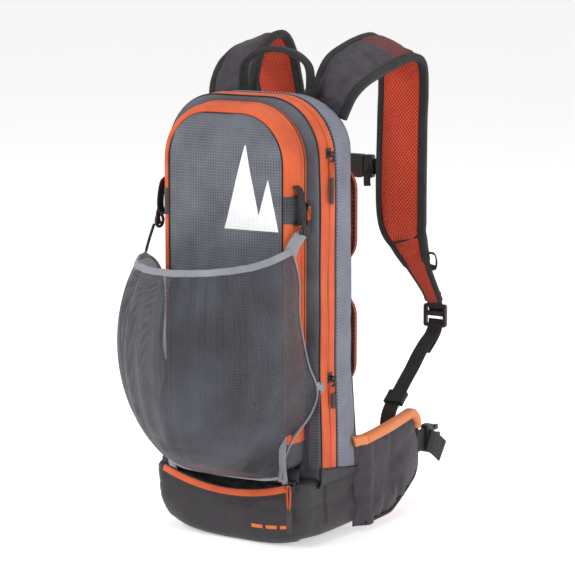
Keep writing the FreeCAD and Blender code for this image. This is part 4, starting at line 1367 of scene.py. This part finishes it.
def make_net():
    """The see-through stretch net, its grey bindings, its bands and the rings that hold it."""
    sides = np.linspace(-1, 1, 121)
    rows = [[net_point(s, t) for s in sides] for t in np.linspace(0, 1, 76)]
    net = surface("helmet_net_cloth", rows, inside=(0, -60, 200))
    place(net, "flap", "net_fabric", "net", replaces=["helmet_net"])

    rim = [net_point(s, 0.0) for s in sides]
    ups = [(net_point(s, 0.0) - net_point(s, 0.02)).normalized() for s in sides]
    hem = sweep("net_rim_binding", [p - u * 2.0 for p, u in zip(rim, ups)], oval(7.5, 2.4, 3, 12), ups)
    place(hem, "flap", "binding_grey", "grey_elastic", replaces=["net_binding"])
    pieces = [hem]
    for side, name in ((1, "right"), (-1, "left")):
        edge = even([net_edge(side, share) for share in np.linspace(0, 1, 100)], 3.0)
        taper = [0.8 + 0.9 * max(0, (i / len(edge) - 0.6) / 0.4) for i in range(len(edge))]
        outward = Vector((side, -0.6, 0))
        trim = sweep("net_side_binding_" + name, edge, oval(4.6, 1.8, 3, 12), outward, widths=taper)
        place(trim, "flap", "binding_grey", "grey_elastic")
        pieces.append(trim)

        tab = band("net_anchor_tab_" + name, [(side * 94.5, -39, 168), (side * 96.5, -35.5, 169),
                                              (side * 96, -33, 176)], 10, 1.6, UP, 2.0)
        place(tab, "flap", "binding_grey", "grey_elastic")

        strap = band("net_band_" + name, [(side * 72, -67.5, 124), (side * 71.5, -68.5, 104), (side * 71, -66.5, 86),
                                          (side * 71, -62.5, 72), (side * 71, -57, 64)], 8.5, 1.2, ACROSS, 2.5)
        bridge(strap, "binding_grey", "grey_elastic", ("pack", "flap"), (0, -62, SEAM_Z), (0, -62, FLAP_Z + 4),
               replaces=["net_bands"] if side > 0 else ())

    foot = [net_point(s, 0.985) for s in np.linspace(-0.96, 0.96, 60)]
    hem = sweep("net_foot_binding", foot, oval(3.4, 2.2, 2, 10), UP)
    place(hem, "flap", "binding_grey", "grey_elastic")
    pieces.append(hem)
    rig.sheet(net, flat=(0.33, 0.29), area=0.080, held="stretched", rests_on=["net_hooks"], with_pieces=pieces)

    tab = band("net_corner_tab", [(90, -62, 333), (89, -68, 328), (86.5, -73, 320), (85, -74.5, 313)], 13, 2.0,
               Vector((0.84, 0.54, 0)), 2.0)
    place(tab, "flap", "binding_grey", "grey_elastic", replaces=["net_tab"])
    for side, name in ((1, "right"), (-1, "left")):
        loop = band("gear_loop_" + name, [(side * 79.5, -55.5, 381), (side * 85, -55.5, 376), (side * 88, -56, 362),
                                          (side * 88.5, -56, 348), (side * 84, -55.5, 342),
                                          (side * 79.5, -55.5, 344)], 11, 2.0, DEEP, 2.5)
        place(loop, "flap", "black_webbing", "webbing", replaces=["gear_loops"] if side > 0 else ())
        keeper = band("hook_keeper_" + name, [(side * 87.5, -56, 352), (side * 90, -57, 345), (side * 91.5, -57, 336),
                                              (side * 90, -56, 330)], 7, 2.2, DEEP, 2.0)
        place(keeper, "flap", "black_webbing", "webbing")


# Straps ---------------------------------------------------------------------------------------

# Stations of each strap's middle: (y, z, roll), where roll drops its outer edge over the shoulder.
RISING_STATIONS = {
    1: [(52.5, 446, 0), (53, 470, 8), (68, 490, 22), (102, 501, 27), (142, 509, 26), (168, 509, 22),
        (184, 494, 14), (187, 462, 5)],
    -1: [(52.5, 446, 0), (53, 472, 8), (68, 499, 18), (94, 514, 18), (115, 514, 17), (131, 496, 12),
         (141, 470, 8), (152, 446, 3)],
}
STRAP_WIDTH = 58
# Stations of the narrowing lower end: (shift outwards, y, z, width).
LOWER_STATIONS = [(0, 0, 325, 58), (7, 5, 292, 44), (16, 13, 264, 28), (24, 24, 238, 20), (25, 31, 226, 20)]


def strap_line(side):
    """The strap's middle line with its direction across and its width, a few millimetres apart."""
    stations = []
    for y, z, roll in RISING_STATIONS[side]:
        near = max(0.0, 1 - (z - 446) / 45) if y < 70 and side > 0 else 0.0
        stations.append((side * (STRAP_CENTRE - 11 * near), y - 6 * near, z, roll, STRAP_WIDTH - 16 * near))
    stations.append((side * STRAP_CENTRE, STRAP_RUN, 424, 0, STRAP_WIDTH))
    for shift, back, z, width in LOWER_STATIONS:
        stations.append((side * (STRAP_CENTRE + shift), STRAP_RUN + back, z, 0, width))
    samples = smooth(stations, 4.5)
    middles = [Vector(sample[:3]) for sample in samples]
    across = []
    for sample in samples:
        roll = math.radians(sample[3])
        across.append(Vector((math.cos(roll), 0, -side * math.sin(roll))))
    return middles, across, [sample[4] for sample in samples]


def strap_frames(middles, across):
    """Direction across and through the strap at each point."""
    frames = []
    for i, side in enumerate(across):
        run = (middles[min(i + 1, len(middles) - 1)] - middles[max(i - 1, 0)]).normalized()
        side = (side - run * side.dot(run)).normalized()
        frames.append((side, run.cross(side)))
    return frames


def make_shoulder_strap(side, name):
    """A padded strap: coated outer face, open mesh inside, bound and stitched along both edges."""
    middles, across, widths = strap_line(side)
    frames = strap_frames(middles, across)
    count = 32
    rows = []
    for i, (middle, width) in enumerate(zip(middles, widths)):
        lateral, through = frames[i]
        row = []
        for a, b in oval(width - 4, STRAP_DEPTH - 2, 3.2, count):
            slack = 0.0
            if b < 0:
                slack = crease((a * 0.5 + i * 1.5, i * 4.5, 0), 34, 2.2) + ripple((a * 0.6 + i, i * 5.0, 0), 13, 0.8)
            row.append(middle + lateral * a + through * (b + slack * (1 - (2 * a / width) ** 4)))
        rows.append(row)
    strap = surface("strap_pad_" + name, rows, wrap=True)
    pinned = [k for k in range(count) if min(k, abs(k - count / 2 + 0.5), count - 1 - k) < 5]
    edges = [i * count + k for i in range(len(rows)) for k in (pinned if widths[i] > 36 else range(count))]
    ends = list(range(count)) + list(range((len(rows) - 1) * count, len(rows) * count))
    inflate(strap, edges + ends, pressure=3.0, cap=1.8, slack=0.03)
    place(strap, "pack", "charcoal_fabric", "strap_face", "mesh", "mesh_dark",
          replaces=["shoulder_strap_" + name])
    for polygon in strap.data.polygons[:(len(rows) - 1) * count]:
        row, column = divmod(polygon.index, count)
        height = middles[row].z
        if column < count // 2:
            polygon.material_index = 1
        elif middles[row].y > 125 and height > 480 and side > 0:
            polygon.material_index = 2

    stitches = []
    for sign, edge in ((1, "outer"), (-1, "inner")):
        bound = [m + f[0] * sign * (w / 2 - 3.0) for m, f, w in zip(middles, frames, widths)]
        thick = [1.0 if w > 30 else 0.8 for w in widths]
        tape = sweep(f"strap_binding_{edge}_{name}", bound, oval(9.5, 8.6, 3.5, 16), [f[0] for f in frames],
                     widths=thick, depths=thick)
        place(tape, "pack", "black_webbing", "binding")
        for face in (1, -1):
            stitches.append([m + f[0] * sign * (w / 2 - 5.4) + f[1] * face * (4.3 if w > 30 else 3.5)
                             for m, f, w in zip(middles, frames, widths)])
    place(stitching("strap_stitching_" + name, stitches, 2.6, 4.2, 0.3), "pack", "lining", "thread")

    seam = [m for m in middles if m.z < 300]
    at = middles.index(seam[0])
    lateral, through = frames[at]
    bar = [middles[at] + lateral * a + through * 5.2 for a in np.linspace(-widths[at] / 2 + 4, widths[at] / 2 - 4, 12)]
    place(sweep("strap_cross_seam_" + name, bar, oval(2.6, 1.4, 2, 8), UP), "pack", "lining", "thread")

    x, y = side * (NECK_X + 8), STRAP_RUN + 12
    loop = band("strap_side_loop_" + name, [(x - side * 6, y - 2, 282), (x + side * 1, y + 2, 281),
                                            (x + side * 3, y + 4, 273), (x + side * 1, y + 5, 265),
                                            (x - side * 6, y + 4, 266)], 9, 1.8, DEEP, 2.0)
    place(loop, "pack", "black_webbing", "webbing")

    tongue = band("strap_end_tab_" + name, [(side * NECK_X, 214.5, 236), (side * NECK_X, 217, 226),
                                            (side * NECK_X, 219.5, 219), (side * NECK_X, 223, 213),
                                            (side * NECK_X, 221.5, 207)], 19, 2.2, ACROSS, 2.0)
    place(tongue, "pack", "black_webbing", "webbing")


def make_webbing(side, name):
    """The adjusting webbing from the ladder lock down to the hip wing, and its sleeve."""
    x = side * NECK_X
    bodies = ("pack", "wing_" + name)
    route = [(x, 221, 204), (x, 219, 196), (x, 212, 188), (x, 199, 181), (x, 183, 170), (x, 168, 157), (x, 152, 145),
             (x, 136, 132.5), (x, 120, 120), (x, 113, 107), (x + side * 1.5, 110, 92)]
    strap = band("adjust_webbing_" + name, route, 17.5, 1.9, ACROSS, 2.5)
    bridge(strap, "black_webbing", "webbing", bodies, (x, 205, 186), (x, 150, 143),
           replaces=["strap_webbing_" + name])
    doubled = band("webbing_tail_" + name, [(x, 220, 203), (x, 217, 192), (x, 206, 182), (x, 191, 172)], 17, 1.7,
                   ACROSS, 2.5)
    doubled.data.transform(__import__("mathutils").Matrix.Translation(Vector((0, 1.6, -1.6)) * MM))
    place(doubled, "pack", "black_webbing", "webbing")

    low, high = span("webbing_keeper_" + name)
    centre = (low + high) / 2
    run = Vector((0, 36, 27)).normalized()
    ring = rounded([(-11.5, -3.4, 2.2), (11.5, -3.4, 2.2), (11.5, 3.4, 2.2), (-11.5, 3.4, 2.2)], 1.4, closed=True)
    through = run.cross(ACROSS)
    rows = []
    for t in np.linspace(-8, 8, 10):
        rows.append([centre + run * t + ACROSS * p.x + through * p.y * (1 + 0.02 * t * t / 8) for p in ring])
    sleeve = thicken(surface("keeper_sleeve_" + name, rows, wrap=True, inside=centre), 1.1)
    place(sleeve, "keeper_" + name, "black_webbing", "webbing", replaces=["webbing_keeper_" + name])


def make_handle():
    """The grab handle: webbing folded narrow along its middle."""
    low, high = span("grab_handle")
    y = (low.y + high.y) / 2
    half, top, foot = high.x - 1.5, high.z - 1.5, low.z
    points = [(-half, y, foot - 2), (-half, y, foot + 16), (-half + 4, y, foot + 27), (-half + 16, y, top - 5),
              (-half + 28, y, top - 1), (0, y, top + 0.5), (half - 28, y, top - 1), (half - 16, y, top - 5),
              (half - 4, y, foot + 27), (half, y, foot + 16), (half, y, foot - 2)]
    path = smooth(points, 3.0)
    shares = [abs(2 * i / (len(path) - 1) - 1) for i in range(len(path))]
    widths = [0.72 + 0.28 * max(0.0, (s - 0.55) / 0.45) ** 0.7 for s in shares]
    depths = [1.9 - 0.9 * max(0.0, (s - 0.45) / 0.55) ** 0.5 for s in shares]
    handle = sweep("handle_webbing", path, oval(16, 3.4, 4, 20), DEEP, widths=widths, depths=depths)
    place(handle, "grab_handle", "black_webbing", "webbing", replaces=["grab_handle"])
    for side, name in ((1, "right"), (-1, "left")):
        anchor = band("handle_anchor_" + name, [(side * (half + 0.4), y - 0.5, foot - 17), (side * half, y - 0.5, foot - 8),
                                                (side * half, y, foot + 0.5)], 17, 4.0, DEEP, 2.5)
        place(anchor, "pack", "black_webbing", "webbing")


def make_sternum_strap():
    """Webbing on both sides of the sternum buckle, and the free tail that hangs from it."""
    for name, body in (("left", "sternum"), ("right", "sternum_male")):
        low, high = span("sternum_webbing_" + name)
        y, z = (low.y + high.y) / 2, (low.z + high.z) / 2
        points = [(low.x + (high.x - low.x) * t, y, z - 0.8 * math.sin(math.pi * t)) for t in np.linspace(0, 1, 6)]
        strap = band("sternum_strap_" + name, points, 18, 1.8, UP, 2.5)
        place(strap, body, "black_webbing", "webbing", replaces=["sternum_webbing_" + name])
    low, high = span("sternum_buckle_male")
    z = (low.z + high.z) / 2
    tail = band("sternum_tail", [(22, 195.5, z), (19.5, 193, z - 7), (18, 192.5, z - 15), (18.5, 193, z - 22)], 9, 1.6,
                Vector((0.9, 0.1, 0.2)), 2.0)
    place(tail, "sternum_male", "black_webbing", "webbing")


# Pads and hip belt ----------------------------------------------------------------------------


def cushion(name, outline, lift, centre, to_space, flat_back=True):
    """A closed pad: rings of its outline close in over a crowned face, and again behind it.

    lift gives the height of the face at a share of the way in from its seam.
    """
    shares = [0.0, 0.004, 0.02, 0.05, 0.1, 0.17, 0.26, 0.37, 0.49, 0.62, 0.75, 0.88, 0.97]
    rows = []
    for share in shares[::-1]:
        rows.append([to_space(p.lerp(centre, share), -lift(share) * (0.15 if flat_back else 1.0)) for p in outline])
    for share in shares[1:]:
        rows.append([to_space(p.lerp(centre, share), lift(share)) for p in outline])
    return surface(name, rows, wrap=True), (len(shares) - 1) * len(outline)


def make_back_pads():
    """Two mesh-covered back pads and the lumbar pad, each swollen against its seam."""
    for name, node, depth, radius, cloth, slot in (
            ("back_pad_top", "back_pad_upper", 15, 26, "mesh_pad", "orange_mesh"),
            ("back_pad_low", "back_pad_lower", 15, 26, "mesh_pad", "orange_mesh"),
            ("lumbar_cushion", "lumbar_pad", 11, 26, "mesh_pad", "orange_mesh")):
        low, high = span(node)
        inset = -4.0 if low.z > SEAM_Z else 1.5
        high.z -= 13 if low.z > 280 else 0
        corners = [(low.x + inset, low.z + inset), (low.x + inset, high.z - inset), (high.x - inset, high.z - inset),
                   (high.x - inset, low.z + inset)]
        outline = rounded([(a, b, radius) for a, b in corners], 5.0, closed=True)
        middle = Vector(((low.x + high.x) / 2, (low.z + high.z) / 2))

        def to_space(p, height):
            channel = 0.0
            if height > 0:
                channel = 3.2 * math.exp(-(p.x / 7) ** 2) + 1.6 * math.exp(-((abs(p.x) - 42) / 4) ** 2)
            return Vector((p.x, low.y + 2.5 + max(-2.0, height - channel), p.y))

        pad, seam = cushion(name, outline, lambda share: (depth - 2.5) * min(1, share / 0.12) ** 0.22, middle, to_space)
        lay_flat(pad, 0, 2, 1)
        inflate(pad, list(range(seam, seam + 3 * len(outline))), pressure=2.5, cap=2.0, slack=0.03)
        place(pad, "pack", slot, cloth, replaces=[node])
        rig.padded(pad, fill=0.7)
        edge = [Vector((p.x, low.y + 1.2, p.y)) for p in outline]
        trim = sweep(name + "_piping", edge, oval(2.2, 2.6, 2, 10), DEEP, loop=True)
        place(trim, "pack", "charcoal_fabric", "binding")


def wing_middle(y):
    """Distance of the hip wing's middle surface from the pack's centre plane, at y."""
    low, high = span("hip_wing_right")
    t = max(0.0, min(1.0, (y - 45) / (high.y - 45)))
    return 103.5 + 2.4 * math.sin(math.pi * t) ** 0.8 - 2.6 * t ** 3


def make_hip_wing(side, name):
    """A padded wing: coated outside, mesh inside, a light trim along its top edge."""
    low, high = span("hip_wing_" + name)
    corners = [(low.y + 1, low.z + 2, 6), (96, 12, 30), (high.y - 1, 42, 20), (high.y - 1, high.z - 9, 10),
               (146, high.z, 16), (low.y + 1, 102, 6)]
    outline = rounded(corners, 5.0, closed=True)
    centre = Vector((98, 62))

    def to_space(p, height):
        settle_in = max(0.0, min(1.0, (p.x - 54) / 26))
        gather = ripple((p.x, 0, p.y * 0.25), 7, 1.2) * max(0.0, p.y - 60) / 45
        folds = ripple((p.x, 0, p.y), 38, 1.6) + crease((p.x, 0, p.y), 40, 1.8, (1.3, 1, 0.6))
        lift = height + (gather + folds) * settle_in * min(1, abs(height) / 4)
        return Vector((side * (wing_middle(p.x) + lift), p.x, p.y))

    wing, seam = cushion("hip_wing_pad_" + name, outline, lambda share: 4.6 * min(1, share / 0.2) ** 0.5, centre,
                         to_space, flat_back=False)
    lay_flat(wing, 1, 2, 0)
    inflate(wing, list(range(seam, seam + len(outline))), pressure=2.0, cap=2.5, slack=0.04)
    place(wing, "wing_" + name, "charcoal_fabric", "strap_face", "mesh_pad", replaces=["hip_wing_" + name])
    inner = [polygon for polygon in wing.data.polygons if max(polygon.vertices) < seam + len(outline)]
    for polygon in inner:
        polygon.material_index = 1
    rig.padded(wing, fill=0.6)

    rows = []
    for z in np.linspace(6.5, 100, 26):
        pull = ripple((0, 0, z), 20, 0.5)
        rows.append([Vector((side * (SACK_HALF + 0.3 - 2.5 * (z > SEAM_Z)), 33, z)),
                     Vector((side * (SACK_HALF + 1.6 + 0.5 * pull), 36, z)),
                     Vector((side * (SACK_HALF + 4.4 + pull), 40, z)), Vector((side * (SACK_HALF + 9.4), 45, z)),
                     Vector((side * (SACK_HALF + 12.2), 50, z)),
                     Vector((side * (SACK_HALF + 12.6), 55, z + 0.5)), Vector((side * (SACK_HALF + 11.4), 59, z + 1))])
    root = thicken(surface("wing_root_" + name, rows, inside=(0, 40, 50)), 1.0)
    bridge(root, "charcoal_fabric", "strap_face", ("pack", "wing_" + name), (side * 98, 35, 55), (side * 104, 46, 55))

    top_edge = band("wing_root_trim_" + name, [(side * 96.5, 33, 99), (side * 99, 37, 100.5), (side * 102.5, 42, 101),
                                               (side * 104, 47, 101)], 10.5, 10.0, UP, 2.0)
    bridge(top_edge, "orange_fabric", "trim", ("pack", "wing_" + name), (side * 98, 35, 55), (side * 104, 46, 55))

    top = [p for p in rounded([(low.y, 101, 0), (146, high.z - 2, 16), (high.y - 3, high.z - 12, 10),
                               (high.y - 3, 92, 0)], 4.0)]
    edge = [Vector((side * wing_middle(p.x), p.x, p.y)) for p in top]
    trim = sweep("hip_wing_trim_" + name, edge, oval(11, 11.4, 3.2, 16),
                 [Vector((0, -n.x, -n.y)) for n in left_normals(top)])
    place(trim, "wing_" + name, "orange_fabric", "trim")
    rest = [p for p in rounded([(high.y - 1.5, 94, 0), (high.y - 1.5, 42, 20), (96, 12, 30), (low.y, low.z + 3, 0)], 4.0)]
    edge = [Vector((side * wing_middle(p.x), p.x, p.y)) for p in rest]
    bound = sweep("hip_wing_binding_" + name, edge, oval(4.5, 5.4, 3, 12),
                  [Vector((0, n.x, n.y)) for n in left_normals(rest)])
    place(bound, "wing_" + name, "black_webbing", "binding")


def make_hip_webbing(side, name):
    """The belt webbing between wing and buckle, with its loose tail hanging beyond the buckle."""
    low, high = span("wing_webbing_" + name)
    x = side * 99.4
    wing_end = span("hip_wing_" + name)[1].y
    points = [(side * (wing_middle(wing_end - 14) - 3), wing_end - 16, 74), (x + side * 0.6, wing_end, 74),
              (x, wing_end + 10, 74), (x, wing_end + 19, 74)]
    belt = band("belt_webbing_" + name, points, 25, 2.0, UP, 2.5)
    place(belt, "wing_" + name, "black_webbing", "webbing", replaces=["wing_webbing_" + name])
    if side > 0:
        tail = band("belt_tail_" + name, [(side * 104.6, wing_end + 21, 73), (side * 105.8, wing_end + 25, 71),
                                          (side * 106.8, wing_end + 30, 68), (side * 106.8, wing_end + 38, 63),
                                          (side * 106.6, wing_end + 50, 55)], 25, 1.8, Vector((0, 0.35, 1)), 2.5)
        place(tail, "hip_male", "black_webbing", "webbing")


# Zip pulls ------------------------------------------------------------------------------------


def make_pull(name, body, outward):
    """A doubled cord through the slider's eye, ending in a moulded grip."""
    low, high = span(name)
    middle = (low + high) / 2
    eye = Vector((middle.x, middle.y, high.z - 3))
    length = eye.z - low.z
    lateral = UP.cross(outward)
    grip_top = 0.46 * length
    loop = [(1.1, 0.2, -grip_top - 2), (1.7, 0.2, -grip_top * 0.6), (2.1, 0.3, -4), (1.6, 0.9, 0.9),
            (0, 1.3, 2.1), (-1.6, 0.9, 0.9), (-2.1, 0.3, -4), (-1.7, 0.2, -grip_top * 0.6),
            (-1.1, 0.2, -grip_top - 2)]
    path = smooth([eye + lateral * a + outward * b + UP * c for a, b, c in loop], 1.2)
    cord = sweep(name + "_cord", path, oval(1.9, 1.9, 2, 10))
    place(cord, body, "pull_cord", "pull_cord", replaces=[name])
    heights = np.linspace(-grip_top, -length, 26)
    line = [eye + UP * h for h in heights]
    shares = np.linspace(0, 1, 26)
    swell = [min(1.0, 0.62 + 4 * s, 0.7 + 3.5 * (1 - s)) * (1 + 0.06 * math.cos(s * 40)) for s in shares]
    grip = sweep(name + "_grip", line, oval(5.4, 3.4, 3.5, 16), lateral, widths=swell, depths=swell)
    place(grip, body, "pull_cord", "grip")
    if name.startswith("main"):
        turns = [1 + 0.22 * math.cos(k * 1.25) for k in range(12)]
        line = [eye + outward * (0.4 + 0.5 * math.sin(k * 0.7)) + UP * (2.5 - k) for k in range(12)]
        knot = sweep(name + "_knot", line, oval(5.2, 4.2, 2.4, 14), lateral, widths=turns, depths=turns)
        place(knot, body, "pull_cord", "black_cord")


# Assembly -------------------------------------------------------------------------------------

MATERIALS = make_materials()
add_camera()
make_net_cord()
add_studio()

make_sack()
make_main_zip()
make_flap()
make_pocket()
make_base()
make_net()
make_back_pads()
for side_sign, side_name in ((-1, "left"), (1, "right")):
    make_shoulder_strap(side_sign, side_name)
    make_webbing(side_sign, side_name)
    make_hip_wing(side_sign, side_name)
    make_hip_webbing(side_sign, side_name)
make_handle()
make_sternum_strap()
for pull_name in ("main_upper_pull", "main_lower_pull", "pocket_pull"):
    make_pull(pull_name, pull_name, ACROSS)
make_pull("base_pull", "base_pull", -DEEP)

FINISHES = {
    "plastic": ["ladder_lock_left", "ladder_lock_right", "hip_buckle_female", "hip_buckle_male", "hip_prong_upper",
                "hip_prong_lower", "sternum_buckle_female", "sternum_buckle_male", "sternum_prong_upper",
                "sternum_prong_lower", "sternum_slider_left", "sternum_slider_right", "net_hooks"],
    "metal": ["main_upper_slider", "main_lower_slider", "pocket_slider", "base_slider"],
    "stiffener": ["frame_sheet"],
}
for finish, names in FINISHES.items():
    for node_name in names:
        for material_slot in frame["nodes"][node_name].material_slots:
            material_slot.material = MATERIALS[finish]

visual_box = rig.bounds()
with open("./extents.json", "w") as size_file:
    json.dump({"cad": [list(corner) for corner in cad_box],
               "visual": [list(corner) for corner in visual_box]}, size_file)
